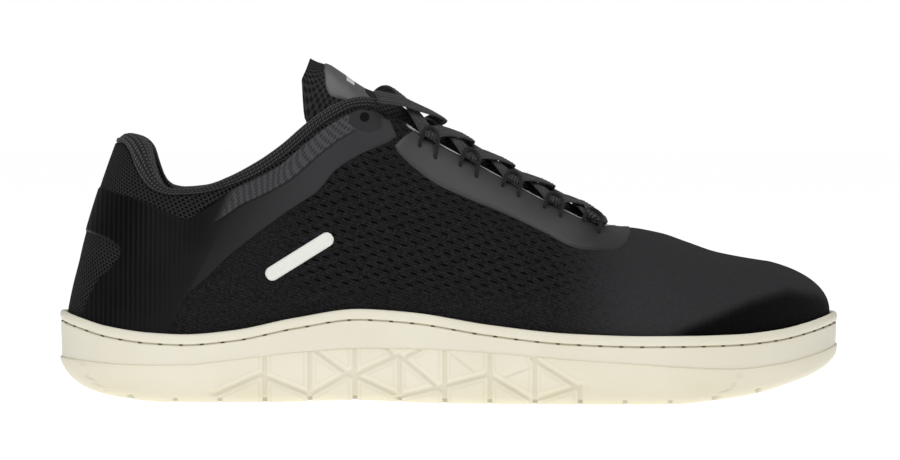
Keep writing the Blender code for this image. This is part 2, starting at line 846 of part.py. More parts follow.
def midsole(finish, home):
    """The midsole: it sits in the outsole's tray, steps out over its lip, and ends in a
    rounded rim above a stitching groove."""
    groove = GROOVE_DEPTH
    lip = LIP_WIDTH + CLEARANCE
    inner = RIM_WIDTH - CLEARANCE

    def under_rim(depth):
        return lambda x: rim_top(x) - depth * RIM_DEPTH

    rings = [
        sole_ring(lip, lambda x: tray(x) + CLEARANCE),
        sole_ring(lip, lambda x: outsole_top(x) + CLEARANCE),
        sole_ring(STEP_INSET, lambda x: outsole_top(x) + CLEARANCE),
        sole_ring(0.4 * STEP_INSET, under_rim(1.16)),
        sole_ring(groove, under_rim(1.02)),
        sole_ring(groove, under_rim(0.94)),
        sole_ring(0.3 * STEP_INSET, under_rim(0.80)),
        sole_ring(0, under_rim(0.45)),
        sole_ring(0.35 * inner, under_rim(0.08)),
        sole_ring(0.65 * inner, rim_top),
        sole_ring(inner, under_rim(0.10)),
        sole_ring(inner, bed),
    ]
    return sole_solid("midsole", rings, finish, home)


def insole(finish, home):
    """The removable footbed, inside the upper's wall."""
    inset = RIM_WIDTH + UPPER_WALL + 2 * CLEARANCE
    rings = [
        sole_ring(inset, lambda x: bed(x) + CLEARANCE),
        sole_ring(inset, lambda x: bed(x) + CLEARANCE + 0.8 * INSOLE_THICKNESS),
        sole_ring(1.25 * inset, lambda x: bed(x) + CLEARANCE + INSOLE_THICKNESS),
    ]
    return sole_solid("insole", rings, finish, home)


def box_along(name, start, end, width, depth, home):
    """A cutter: a bar from start to end, width across and depth in y, centred on y."""
    shape = bpy.data.meshes.new(name)
    run = end - start
    along = run / np.linalg.norm(run)
    across = np.cross(along, (0, 1, 0))
    points = []
    for at in (start, end):
        for a in (-0.5, 0.5):
            for b in (-0.5, 0.5):
                points.append(at + across * a * width + np.array([0, b * depth, 0]) + SHIFT)
    faces = [(0, 1, 3, 2), (4, 6, 7, 5), (0, 2, 6, 4), (1, 5, 7, 3), (0, 4, 5, 1), (2, 3, 7, 6)]
    shape.from_pydata([tuple(p) for p in points], [], faces)
    shape.update()
    solid = bmesh.new()
    solid.from_mesh(shape)
    bmesh.ops.recalc_face_normals(solid, faces=solid.faces)
    solid.to_mesh(shape)
    solid.free()
    made = bpy.data.objects.new(name, shape)
    made.hide_render = True
    made.display_type = "WIRE"
    home.objects.link(made)
    return made


def joined(name, objects, home):
    """One object from several, their shapes merged by a Boolean union."""
    base = objects[0]
    for other in objects[1:]:
        union = base.modifiers.new("union", "BOOLEAN")
        union.operation = "UNION"
        union.solver = "EXACT"
        union.object = other
    graph = bpy.context.evaluated_depsgraph_get()
    mesh = bpy.data.meshes.new_from_object(base.evaluated_get(graph))
    mesh.name = name
    made = bpy.data.objects.new(name, mesh)
    home.objects.link(made)
    for old in objects:
        bpy.data.objects.remove(old)
    return made


def side_point(side, along, height):
    """A point on the outsole's side: shares of LENGTH and of WALL_HEIGHT."""
    _, xy, _ = CURVES[side]
    y = np.interp(along * LENGTH, xy[:, 0], xy[:, 1])
    return np.array([along * LENGTH, y, height * WALL_HEIGHT])


def cut_tread(sole, home):
    """Lug gaps across the tread, and the facets pressed into both sides."""
    cutters = []
    for k in range(LUG_COUNT):
        x = (LUG_START + k * LUG_PITCH) * LENGTH
        floor = float(underside(np.array(x)))
        low = np.array([x, 0, floor - LUG_DEPTH])
        high = np.array([x, 0, floor + LUG_DEPTH])
        cutters.append(box_along("lug_gap", low, high, LUG_GAP, 1.2 * BALL_WIDTH, home))
    grooves = list(FACETS)
    for k, top in UPRIGHTS:
        along = LUG_START + k * LUG_PITCH
        grooves.append((along, 0.5 * LUG_DEPTH / WALL_HEIGHT, along, top))
    for x0, z0, x1, z1 in grooves:
        for side in (LATERAL, MEDIAL):
            start = side_point(side, x0, z0)
            end = side_point(side, x1, z1)
            cutters.append(box_along("facet", start, end, FACET_GAP, 2 * FACET_DEPTH, home))
    for cutter in cutters:
        cut = sole.modifiers.new("cut", "BOOLEAN")
        cut.operation = "DIFFERENCE"
        cut.solver = "EXACT"
        cut.object = cutter
    tidy = sole.modifiers.new("weld", "WELD")
    tidy.merge_threshold = 0.02 * MM


def shell(name, outer, inner, finish, home, wrap=False, closed=None):
    """A closed thin solid between two grids of points.

    wrap joins the last column to the first. closed marks the columns whose last row lies
    on the ridge, where the two sides of the shoe are welded and need no edge.
    """
    rows, columns = outer.shape[:2]
    count = rows * columns
    faces = grid_faces(rows, columns, wrap=wrap)
    faces += [tuple(count + k for k in reversed(face)) for face in faces]
    top = (rows - 1) * columns
    for j in range(columns if wrap else columns - 1):
        k = (j + 1) % columns
        faces.append((j, k, count + k, count + j))
        if closed is None or not (closed[j] and closed[k]):
            faces.append((top + k, top + j, count + top + j, count + top + k))
    if not wrap:
        for i in range(rows - 1):
            low = i * columns
            high = low + columns
            faces.append((low, high, count + high, count + low))
            low += columns - 1
            high += columns - 1
            faces.append((high, low, count + low, count + high))
    points = np.concatenate([outer.reshape(-1, 3), inner.reshape(-1, 3)])
    return piece(name, points, faces, finish, home, split=True)


def upper(finish, home):
    """The knit upper: one hollow wall, open at collar, throat and underneath."""
    share = stations(SIDE_STATIONS)
    steps = np.concatenate([[-1.0, -0.45], np.linspace(0, 1, WALL_ROWS + 1)])
    sheets = {0.0: [], -UPPER_WALL: []}
    closed = []
    for side in (LATERAL, MEDIAL):
        top = climb_to_edge(side, share)
        climb = np.where(steps[:, None] < 0, steps[:, None], steps[:, None] * top[None])
        keep = slice(None) if side == LATERAL else slice(-2, 0, -1)
        closed += list(top[keep] == 1.0)
        for stand, halves in sheets.items():
            halves.append(off_last(side, share[None], climb, stand)[:, keep])
    outer, inner = (np.concatenate(halves, axis=1) for halves in sheets.values())
    return shell("upper", outer, inner, finish, home, wrap=True, closed=closed)


def lining(finish, home):
    """The padded collar lining: it rolls over the collar's edge and runs down inside.

    The profile's columns: share of the roll's height, clearances above the edge, distance
    off the last, share of the lining's depth.
    """
    share = stations(SIDE_STATIONS)
    along = ridge_along(share) / LENGTH
    share = share[along < LINING_END]
    taper = (along[along < LINING_END] - LINING_TAPER) / (LINING_END - LINING_TAPER)
    taper = np.clip(taper, 0, 1)
    behind = -(UPPER_WALL + 1.5 * CLEARANCE)
    pad = behind - LINING_PAD * (1 - 0.7 * taper)
    level = np.ones(len(share))
    profile = (
        (0.00, 1, -0.5 * UPPER_WALL * level, 0),
        (0.30, 1, LINING_PROUD * level, 0),
        (0.72, 0, LINING_PROUD * level, 0),
        (0.97, 0, 0.3 * behind * level, 0),
        (1.00, 0, 0.5 * (behind + pad), 0),
        (0.80, 0, 0.9 * pad + 0.1 * behind, 0),
        (0.30, 0, pad, 0),
        (0.00, 0, pad, 0.3),
        (0.00, 0, 0.5 * (behind + pad), 0.8),
        (0.00, 0, behind - 0.8 * MM * level, 1.0),
        (0.00, 0, behind * level, 1.0),
        (0.00, 0, behind * level, 0.66),
        (0.00, 0, behind * level, 0.33),
        (0.00, 1, behind * level, 0),
    )
    halves = []
    for side in (LATERAL, MEDIAL):
        seam = climb_to_line(side, share, TOPLINE)
        ahead = last(side, share, np.clip(seam + 0.01, 0, 1))
        pace = np.linalg.norm(ahead - last(side, share, seam - 0.01), axis=-1) / 0.02
        tall = (climb_to_line(side, share, ROLL_LINE) - seam) * pace
        tall = np.maximum(tall, LACE_THICKNESS)
        rows = []
        for lift, gaps, stand, sink in profile:
            rise = lift * tall + gaps * CLEARANCE - sink * LINING_DEPTH
            rows.append(off_last(side, share, seam + rise / pace, stand))
        halves.append(np.stack(rows))
    grid = np.concatenate([halves[0][:, ::-1], halves[1][:, 1:]], axis=1)
    rows, columns = grid.shape[:2]
    faces = grid_faces(rows, columns)
    for j in range(columns - 1):
        low = (rows - 1) * columns + j
        faces.append((low, low + 1, j + 1, j))
    faces.append(tuple(i * columns for i in range(rows)))
    faces.append(tuple(i * columns + columns - 1 for i in reversed(range(rows))))
    return piece("collar_lining", grid, faces, finish, home, split=True)


def under_last(along, spread, depth):
    """Points at a depth below the last across the tongue's width.

    along is a column, spread runs from -1 at the lateral edge to 1 at the medial one. The
    direction of depth turns evenly from one edge to the other and is fixed above
    TONGUE_BEND, so it never folds. Above TONGUE_LEVEL the edges sweep back round the
    ankle.
    """
    lateral, medial = np.moveaxis(monotone(TONGUE, along)[..., :2], -1, 0) * BALL_WIDTH
    across = np.where(spread < 0, lateral, medial) * spread
    above = np.clip((TONGUE_LEVEL - along) / (TONGUE_LEVEL - TONGUE[0][0]), 0, 1)
    surface = crown(along - TONGUE_SWEEP * above * spread**2, across, 0.0)
    share = share_at(np.maximum(along[:, 0], TONGUE_BEND))
    edges = []
    for side, reach in ((LATERAL, lateral[:, 0]), (MEDIAL, medial[:, 0])):
        edges.append(facing(side, share, climb_to_reach(side, share, reach)))
    part = (spread[..., None] + 1) / 2
    out = (1 - part) * edges[0][:, None] + part * edges[1][:, None]
    out = out / np.linalg.norm(out, axis=-1, keepdims=True)
    return surface - out * depth[..., None]


TONGUE_SPREAD = np.array([-1.0, -0.84, -0.56, -0.28, 0.0, 0.28, 0.56, 0.84, 1.0])


def tongue(finish, home):
    """The padded tongue, a patch of the last below the upper and the lining."""
    along = np.unique(np.concatenate([np.array(TONGUE)[:, 0], np.linspace(0.52, 0.68, 3)]))
    _, _, depth, thick = np.moveaxis(monotone(TONGUE, along), -1, 0)
    along = along[:, None]
    depth = depth[:, None] * LINING_PAD
    spread = TONGUE_SPREAD[None]
    slim = np.where(np.abs(spread) > 0.9, 0.35, 1.0)
    deep = depth + thick[:, None] * slim * TONGUE_THICKNESS
    outer = under_last(along, spread, depth + 0 * spread)
    inner = under_last(along, spread, deep)
    return shell("tongue", outer, inner, finish, home)


def tongue_label(finish, home):
    """The film label on the tongue's top."""
    rows = np.array(TONGUE)
    along = rows[2:5, :1]
    depth = rows[2:5, 3:4] * LINING_PAD
    spread = TONGUE_SPREAD[None, 2:-2]
    low = under_last(along, spread, depth - CLEARANCE + 0 * spread)
    high = under_last(along, spread, depth - CLEARANCE - LABEL_THICKNESS + 0 * spread)
    return shell("tongue_label", high, low, finish, home)


def filled_in(first, second):
    """Two edges of a film with rulings added wherever they lie far apart.

    Where the edge crosses from one side of the shoe to the other, it does so at one share.
    """
    spots = [[last(*place) for place in edge] for edge in (first, second)]
    grown = ([], [])
    for k in range(len(first) - 1):
        far = max(np.linalg.norm(row[k + 1] - row[k]) for row in spots)
        count = max(1, math.ceil(far / FILM_STEP))
        for edge, found in zip((first, second), grown):
            side, share, climb = edge[k]
            _, next_share, next_climb = edge[k + 1]
            for part in np.arange(count) / count:
                between = share + part * (next_share - share)
                found.append((side, between, climb + part * (next_climb - climb)))
    grown[0].append(first[-1])
    grown[1].append(second[-1])
    return grown


def film(name, first, second, columns, finish, home):
    """A thin film between two edges given as places on the last.

    Each edge is a list of (side, share, climb); rulings between them are straight in share
    and climb.
    """
    blend = np.linspace(0, 1, columns)
    first, second = filled_in(first, second)
    layers = []
    for stand in (FILM_STAND + FILM, FILM_STAND):
        rows = []
        for (side, share, climb), (_, other_share, other_climb) in zip(first, second):
            shares = share + blend * (other_share - share)
            climbs = climb + blend * (other_climb - climb)
            rows.append(off_last(side, shares, climbs, stand))
        layers.append(np.stack(rows))
    return shell(name, layers[0], layers[1], finish, home)


def heel_film(finish, home):
    """The film over heel and quarter, in one piece round the heel."""
    edges = {LATERAL: ([], []), MEDIAL: ([], [])}
    for side, (tops, lows) in edges.items():
        for x0, z0, x1, z1 in HEEL_FILM:
            tops.append((side, *seen_at(side, x0, z0)))
            lows.append((side, *seen_at(side, x1, z1)))
    tops = edges[LATERAL][0][:0:-1] + edges[MEDIAL][0]
    lows = edges[LATERAL][1][:0:-1] + edges[MEDIAL][1]
    return film("heel_film", tops, lows, 5, finish, home)


def eyestay(finish, home):
    """The film round the throat, in one piece from top eyelet to top eyelet."""
    edges = {LATERAL: ([], []), MEDIAL: ([], [])}
    for side, (inner, outer) in edges.items():
        for along, x, z in EYESTAY:
            share = float(share_at(along))
            climb = float(climb_to_edge(side, share)[0])
            pace = np.linalg.norm(last(side, share, climb) - last(side, share, climb - 0.02)) / 0.02
            inset = EYESTAY_MARGIN / pace if along < THROAT_FRONT - 0.01 else 0
            inner.append((side, share, climb - inset))
            if z == 0:
                outer.append((side, float(share_at(x)), 1.0))
            else:
                outer.append((side, *seen_at(side, x, z)))
    inner = edges[LATERAL][0][:-1] + edges[MEDIAL][0][::-1]
    outer = edges[LATERAL][1][:-1] + edges[MEDIAL][1][::-1]
    return film("eyestay", inner, outer, 4, finish, home)


def side_mark(finish, home):
    """The plain bar on the lateral quarter, with round ends."""
    (x0, z0), (x1, z1) = MARK_ENDS
    start = np.array([x0 * LENGTH, z0 * INSTEP_HEIGHT])
    run = np.array([x1 * LENGTH, z1 * INSTEP_HEIGHT]) - start
    size = np.linalg.norm(run)
    along = run / size
    over = np.array([-along[1], along[0]])
    half = MARK_WIDTH / 2
    turns = np.radians([0, 30, 60])
    ends = half * (1 - np.cos(turns[::-1] + np.radians(30)))
    marks = np.concatenate([[0.15 * half], ends, size - ends[::-1], [size - 0.15 * half]])
    marks = np.unique(np.round(marks, 7))
    edges = ([], [])
    for place in marks:
        near = min(place, size - place)
        wide = half if near >= half else math.sqrt(half**2 - (half - near) ** 2)
        for edge, hand in zip(edges, (1, -1)):
            spot = start + along * place + over * hand * wide
            edge.append((LATERAL, *seen_at(LATERAL, spot[0] / LENGTH, spot[1] / INSTEP_HEIGHT)))
    return film("side_mark", edges[0], edges[1], 3, finish, home)


def loop(name, side, along, finish, home):
    """One lace loop: a cord that rises from the eyestay over the lace and back."""
    place, out, clear = np.array(LOOP_COURSE).T
    at = along + place * LOOP_WIDTH / LENGTH
    reach = throat_reach(side, along) + out * LOOP_LENGTH
    course = crown(at, reach * side, clear * LACE_THICKNESS)
    line = bpy.data.curves.new(name, "CURVE")
    line.dimensions = "3D"
    line.bevel_depth = LOOP_CORD / 2
    line.bevel_resolution = 0
    line.use_fill_caps = True
    spline = line.splines.new("POLY")
    spline.points.add(len(course) - 1)
    for point, where in zip(spline.points, course + SHIFT):
        point.co = (*where, 1)
    cord = bpy.data.objects.new(name + "_line", line)
    home.objects.link(cord)
    graph = bpy.context.evaluated_depsgraph_get()
    mesh = bpy.data.meshes.new_from_object(cord.evaluated_get(graph))
    bpy.data.objects.remove(cord)
    points = np.zeros(3 * len(mesh.vertices))
    mesh.vertices.foreach_get("co", points)
    faces = [tuple(face.vertices) for face in mesh.polygons]
    return piece(name, points.reshape(-1, 3) - SHIFT, faces, finish, home)


def ribbon(name, course, width, finish, home):
    """A flat strand of lace along a course of places over the instep."""
    along, across, stand = np.array(course).T
    middle = crown(along, across, stand)
    over = crown(along, across, stand + 1 * MM) - middle
    over /= np.linalg.norm(over, axis=1, keepdims=True)
    run = np.gradient(middle, axis=0)
    run /= np.linalg.norm(run, axis=1, keepdims=True)
    beside = np.cross(over, run)
    beside /= np.linalg.norm(beside, axis=1, keepdims=True)
    corners = []
    for a, b in ((-0.5, 0), (0.5, 0), (0.5, 1), (-0.5, 1)):
        corners.append(middle + beside * a * width + over * b * LACE_THICKNESS)
    grid = np.stack(corners, axis=1)
    rows = len(grid)
    faces = grid_faces(rows, 4, wrap=True)
    faces.append((0, 1, 2, 3))
    faces.append(tuple(4 * (rows - 1) + k for k in (3, 2, 1, 0)))
    return piece(name, grid, faces, finish, home)


def strand_course(start, end, sag, count, lift=0.0):
    """Places along one strand, from a loop or eyelet on one side to one on the other.

    start and end are (along, across); sag lets the strand's middle lie closer, lift raises
    its start.
    """
    t = np.linspace(-LACE_TUCK, 1 + LACE_TUCK, count)
    along = start[0] + t * (end[0] - start[0])
    across = start[1] + t * (end[1] - start[1])
    seat = FILM_STAND + FILM + LACE_CLEAR
    stand = seat - sag * np.sin(np.pi * np.clip(t, 0, 1)) ** 2 + lift * (1 - t) ** 2
    return np.stack([along, across, stand], axis=1)


def lace(finish, home):
    """The lace: strands from loop to loop that cross over the tongue, and the lowest bar,
    joined into one solid. Its ends stop at the top eyelets."""
    seats = {}
    for side in (LATERAL, MEDIAL):
        seats[side, 0] = (EYELET_ALONG, side * EYELET_REACH * BALL_WIDTH)
        for k, along in enumerate(LOOP_PLACES):
            across = throat_reach(side, along) + LACE_SEAT * LOOP_LENGTH
            seats[side, k + 1] = (along, side * float(across))
    strands = []
    for k in range(len(LOOP_PLACES)):
        for side, sag, count in ((LATERAL, 0.5 * MM, 8), (MEDIAL, 1.2 * MM, 7)):
            lift = EYELET_LIFT if k == 0 else 0.0
            course = strand_course(seats[side, k], seats[-side, k + 1], sag, count, lift)
            strands.append(ribbon("strand", course, LACE_WIDTH, finish, home))
    low = seats[LATERAL, LOOP_COUNT]
    far = seats[MEDIAL, LOOP_COUNT]
    bar = strand_course((BAR_ALONG, low[1]), (BAR_ALONG, far[1]), 0.7 * MM, 6)
    strands.append(ribbon("strand", bar, BAR_WIDTH * LACE_WIDTH, finish, home))
    return joined("lace", strands, home)


def main():
    """Builds every piece of the shoe."""
    for old in list(bpy.data.objects):
        bpy.data.objects.remove(old)
    shoe = collection("barefoot_shoe")
    cutters = collection("cutters")
    rubber = material("cream_rubber", "efe9d6", 0.55)
    foam = material("cream_sidewall", "f1edde", 0.5)
    knit = material("black_knit", "1c1c1d", 0.9)
    soft = material("black_lining_knit", "202021", 0.85)
    padded = material("black_tongue_mesh", "19191a", 0.9)
    bed_cloth = material("insole_fabric", "2a2a2c", 0.9)
    satin = material("satin_film", "3a3a3c", 0.45)
    grey = material("label_film", "555557", 0.45)
    pale = material("pale_print", "eaebe4", 0.5)
    cord = material("black_cord", "151516", 0.8)
    weave = material("black_lace", "1a1a1b", 0.85)
    tread = outsole(rubber, shoe)
    cut_tread(tread, cutters)
    midsole(foam, shoe)
    insole(bed_cloth, shoe)
    upper(knit, shoe)
    lining(soft, shoe)
    tongue(padded, shoe)
    tongue_label(grey, shoe)
    heel_film(satin, shoe)
    eyestay(satin, shoe)
    side_mark(pale, shoe)
    for side, word in ((LATERAL, "lateral"), (MEDIAL, "medial")):
        for k, along in enumerate(LOOP_PLACES):
            loop(f"lace_loop_{word}_{k + 1}", side, along, cord, shoe)
    lace(weave, shoe)


main()
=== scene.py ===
# %% [markdown]
# # Dressing a barefoot shoe
# The shoe is a black knit upper on a cream cup sole, for the right foot. The imported CAD
# model holds its plain solids. Each cell below looks at one part of the real shoe and puts
# a finer surface where its solid is: knit with its slits, pressed film, ribbed lace, and
# the facets of the sole. The model is loaded first.

# %% Load the imported shoe
import math

import bmesh
import bpy
import numpy as np
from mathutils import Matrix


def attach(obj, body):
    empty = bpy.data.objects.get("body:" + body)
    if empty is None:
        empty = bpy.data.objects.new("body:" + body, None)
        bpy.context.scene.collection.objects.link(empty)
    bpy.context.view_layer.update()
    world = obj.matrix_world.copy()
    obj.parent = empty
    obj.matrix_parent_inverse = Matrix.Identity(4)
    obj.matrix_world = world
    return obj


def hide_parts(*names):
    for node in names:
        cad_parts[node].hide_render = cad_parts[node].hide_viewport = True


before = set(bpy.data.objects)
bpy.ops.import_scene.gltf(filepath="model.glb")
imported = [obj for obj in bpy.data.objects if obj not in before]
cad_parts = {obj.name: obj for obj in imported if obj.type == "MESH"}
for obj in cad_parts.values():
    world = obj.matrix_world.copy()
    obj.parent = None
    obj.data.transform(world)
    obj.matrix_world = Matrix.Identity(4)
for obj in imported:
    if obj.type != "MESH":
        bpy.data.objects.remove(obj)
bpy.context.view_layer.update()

MM = 0.001

# %% [markdown]
# ## The sole's outline and lines
# A shoe is drawn round two things: the outline of its sole and the last, the foot-shaped
# form that the upper is pulled over. Both are short tables of shares of a few real sizes,
# the same ones that the CAD part uses, so every new surface lies where its solid lies. A
# smooth curve through the rows fills in the rest.

# %% Sizes and tables of the sole
LENGTH = 286 * MM
BALL_WIDTH = 104 * MM
WALL_HEIGHT = 34 * MM
INSTEP_HEIGHT = 110 * MM
TREAD_RISE = 15 * MM
LATERAL, MEDIAL = -1, 1

# The sole seen from above, from the heel's back round the lateral side to the toe and
# back along the medial side.
# Columns: along (share of LENGTH), across (share of BALL_WIDTH).
OUTLINE = (
    (0.000, -0.010),
    (0.022, -0.190),
    (0.075, -0.305),
    (0.160, -0.350),
    (0.270, -0.352),
    (0.400, -0.375),
    (0.530, -0.437),
    (0.660, -0.492),
    (0.760, -0.490),
    (0.850, -0.425),
    (0.925, -0.300),
    (0.978, -0.110),
    (1.000, 0.110),
    (0.988, 0.285),
    (0.940, 0.415),
    (0.860, 0.482),
    (0.740, 0.503),
    (0.620, 0.470),
    (0.500, 0.385),
    (0.390, 0.325),
    (0.270, 0.315),
    (0.160, 0.322),
    (0.075, 0.280),
    (0.022, 0.170),
)

# The sole seen from the side.
# Columns: along (share of LENGTH), top of the rim and top of the outsole (shares of
# WALL_HEIGHT).
SIDE_LINES = (
    (0.000, 0.965, 0.455),
    (0.030, 0.890, 0.437),
    (0.065, 0.810, 0.415),
    (0.120, 0.745, 0.400),
    (0.165, 0.728, 0.404),
    (0.225, 0.770, 0.456),
    (0.305, 0.905, 0.535),
    (0.385, 1.000, 0.582),
    (0.450, 0.968, 0.585),
    (0.550, 0.840, 0.547),
    (0.650, 0.753, 0.480),
    (0.750, 0.727, 0.423),
    (0.800, 0.727, 0.392),
    (0.860, 0.735, 0.370),
    (0.915, 0.774, 0.408),
    (0.955, 0.838, 0.470),
    (0.985, 0.900, 0.535),
    (1.000, 0.930, 0.575),
)

# The underside: flat under heel and ball, a shallow arch, a bevelled heel and toe spring.
# Columns: along (share of LENGTH), height (share of TREAD_RISE).
TREAD_LINE = (
    (0.000, 0.860),
    (0.010, 0.640),
    (0.020, 0.480),
    (0.042, 0.270),
    (0.070, 0.145),
    (0.110, 0.040),
    (0.145, 0.000),
    (0.270, 0.000),
    (0.380, 0.060),
    (0.490, 0.000),
    (0.780, 0.000),
    (0.840, 0.100),
    (0.875, 0.185),
    (0.905, 0.300),
    (0.930, 0.425),
    (0.955, 0.560),
    (0.975, 0.710),
    (1.000, 0.970),
)


def monotone(table, at):
    """Values of every later column of a table at the given first-column places.

    A cubic through the rows whose slopes never overshoot, held flat beyond the ends.
    """
    rows = np.asarray(table, float)
    x = rows[:, 0]
    y = rows[:, 1:]
    width = np.diff(x)[:, None]
    slope = np.diff(y, axis=0) / width
    tangent = np.zeros_like(y)
    same = slope[:-1] * slope[1:] > 0
    mean = 2 * slope[:-1] * slope[1:] / np.where(same, slope[:-1] + slope[1:], 1)
    tangent[1:-1] = np.where(same, mean, 0)
    tangent[0] = slope[0]
    tangent[-1] = slope[-1]
    place = np.clip(np.asarray(at, float), x[0], x[-1])
    i = np.clip(np.searchsorted(x, place, side="right") - 1, 0, len(x) - 2)
    h = width[i]
    u = ((place - x[i]) / h[..., 0])[..., None]
    first = (1 + 2 * u) * (1 - u) ** 2 * y[i] + u * (1 - u) ** 2 * h * tangent[i]
    second = u * u * (3 - 2 * u) * y[i + 1] + u * u * (u - 1) * h * tangent[i + 1]
    return first + second


def closed_spline(points, samples):
    """A smooth closed curve through the points: a periodic cubic spline by chord length."""
    p = np.asarray(points, float)
    n = len(p)
    chord = np.linalg.norm(np.roll(p, -1, axis=0) - p, axis=1)
    before = np.roll(chord, 1)
    system = np.zeros((n, n))
    rows = np.arange(n)
    system[rows, (rows - 1) % n] = chord
    system[rows, rows] = 2 * (before + chord)
    system[rows, (rows + 1) % n] = before
    ahead = (np.roll(p, -1, axis=0) - p) / chord[:, None]
    behind = np.roll(ahead, 1, axis=0)
    tangent = np.linalg.solve(system, 3 * (chord[:, None] * behind + before[:, None] * ahead))
    u = np.linspace(0, 1, samples, endpoint=False)[None, :, None]
    start = p[:, None]
    end = np.roll(p, -1, axis=0)[:, None]
    span = chord[:, None, None]
    leave = tangent[:, None] * span
    arrive = np.roll(tangent, -1, axis=0)[:, None] * span
    curve = (1 + 2 * u) * (1 - u) ** 2 * start + u * (1 - u) ** 2 * leave
    curve = curve + u * u * (3 - 2 * u) * end + u * u * (u - 1) * arrive
    return curve.reshape(-1, 2)


def side_curves():
    """The outline's two halves, each from the heel's back to the toe's tip.

    Returns for each side the share of its length at each sample, the samples and the
    outward directions.
    """
    loop = closed_spline(np.array(OUTLINE) * (LENGTH, BALL_WIDTH), 40)
    loop[:, 0] -= loop[:, 0].min()
    loop[:, 0] *= LENGTH / loop[:, 0].max()
    run = np.roll(loop, -1, axis=0) - np.roll(loop, 1, axis=0)
    out = np.stack([run[:, 1], -run[:, 0]], axis=1)
    out /= np.linalg.norm(out, axis=1)[:, None]
    heel = int(np.argmin(loop[:, 0]))
    loop = np.roll(loop, -heel, axis=0)
    out = np.roll(out, -heel, axis=0)
    toe = int(np.argmax(loop[:, 0]))
    first = slice(0, toe + 1)
    halves = {LATERAL: (loop[first], out[first])}
    back = np.concatenate([loop[toe:], loop[:1]])[::-1]
    back_out = np.concatenate([out[toe:], out[:1]])[::-1]
    halves[MEDIAL] = (back, back_out)
    found = {}
    for side, (xy, outward) in halves.items():
        step = np.linalg.norm(np.diff(xy, axis=0), axis=1)
        share = np.concatenate([[0], np.cumsum(step)]) / step.sum()
        found[side] = (share, xy, outward)
    return found


CURVES = side_curves()
SHIFT = np.array(
    [
        -LENGTH / 2,
        -(CURVES[LATERAL][1][:, 1].min() + CURVES[MEDIAL][1][:, 1].max()) / 2,
        0,
    ]
)
print("Outline samples per side:", [len(CURVES[side][0]) for side in (LATERAL, MEDIAL)])

# %% [markdown]
# ## Heights along the sole
# Three lines run round the sole: the top of its rim, the step where the rubber ends, and
# the tread. Each is a height that depends only on how far along the shoe a point is.

# %% Lines round the sole
RIM_WIDTH = 2.8 * MM
RIM_DEPTH = 3.9 * MM
STEP_INSET = 0.6 * MM
LIP_WIDTH = 2.0 * MM
CLEARANCE = 0.3 * MM
OUTSOLE_FLOOR = 4.5 * MM
MIDSOLE_FLOOR = 3.2 * MM
TRAY_FOLLOW = 0.80
BED_FOLLOW = 0.65


def outline(side, share, inset):
    """Points of the sole's outline, moved inwards by inset, as (x, y)."""
    shares, xy, out = CURVES[side]
    at = np.stack([np.interp(share, shares, xy[:, k]) for k in (0, 1)], axis=-1)
    away = np.stack([np.interp(share, shares, out[:, k]) for k in (0, 1)], axis=-1)
    away /= np.linalg.norm(away, axis=-1, keepdims=True)
    inset = np.broadcast_to(np.asarray(inset, float), np.shape(share))
    return at - away * inset[..., None], away


def rim_top(x):
    """Height of the top of the sole's rim."""
    return monotone(SIDE_LINES, x / LENGTH)[..., 0] * WALL_HEIGHT


def outsole_top(x):
    """Height of the line where the outsole's side ends."""
    return monotone(SIDE_LINES, x / LENGTH)[..., 1] * WALL_HEIGHT


def underside(x):
    """Height of the tread above the floor."""
    return monotone(TREAD_LINE, x / LENGTH)[..., 0] * TREAD_RISE


def tray(x):
    """Height of the outsole's inner floor, which follows bevel and toe spring in part."""
    return TRAY_FOLLOW * underside(x) + OUTSOLE_FLOOR


def bed(x):
    """Height of the midsole's inner floor, flatter again than the tray."""
    return BED_FOLLOW * underside(x) + OUTSOLE_FLOOR + CLEARANCE + MIDSOLE_FLOOR


print("Rim at the toe, mm:", round(float(rim_top(np.array(LENGTH))) / MM, 1))

# %% [markdown]
# ## The last
# Ribs climb from the rim to a ridge above the foot. A rib is a cubic Bezier curve whose two
# handles come from a table, and the ribs fan out towards heel and toe. A place on the last
# is then two numbers: how far round from heel to toe, and how far up the rib. Every piece
# of the upper is a patch of those two numbers, at some distance off the last.

# %% Tables of the last
# The ridge above the foot, which the ribs climb to. Behind the throat it is the last's
# own cone, above the collar.
# Columns: along (share of LENGTH), across (share of BALL_WIDTH), height (share of
# INSTEP_HEIGHT).
RIDGE = (
    (0.120, 0.000, 1.170),
    (0.220, 0.000, 1.225),
    (0.300, 0.000, 1.220),
    (0.335, 0.005, 1.205),
    (0.355, 0.008, 1.178),
    (0.375, 0.012, 1.132),
    (0.392, 0.016, 1.086),
    (0.410, 0.020, 1.042),
    (0.430, 0.025, 1.002),
    (0.448, 0.030, 0.966),
    (0.486, 0.038, 0.905),
    (0.525, 0.046, 0.845),
    (0.565, 0.055, 0.782),
    (0.604, 0.063, 0.727),
    (0.642, 0.070, 0.677),
    (0.680, 0.078, 0.618),
    (0.700, 0.082, 0.586),
    (0.718, 0.086, 0.568),
    (0.737, 0.090, 0.562),
    (0.773, 0.096, 0.546),
    (0.805, 0.100, 0.518),
    (0.842, 0.104, 0.485),
    (0.878, 0.106, 0.466),
    (0.912, 0.108, 0.452),
)
HEEL_POLE = 0.125
TOE_POLE = 0.912
HEEL_FAN = 0.290
TOE_FAN = 0.780
FAN_SPREAD = 0.55

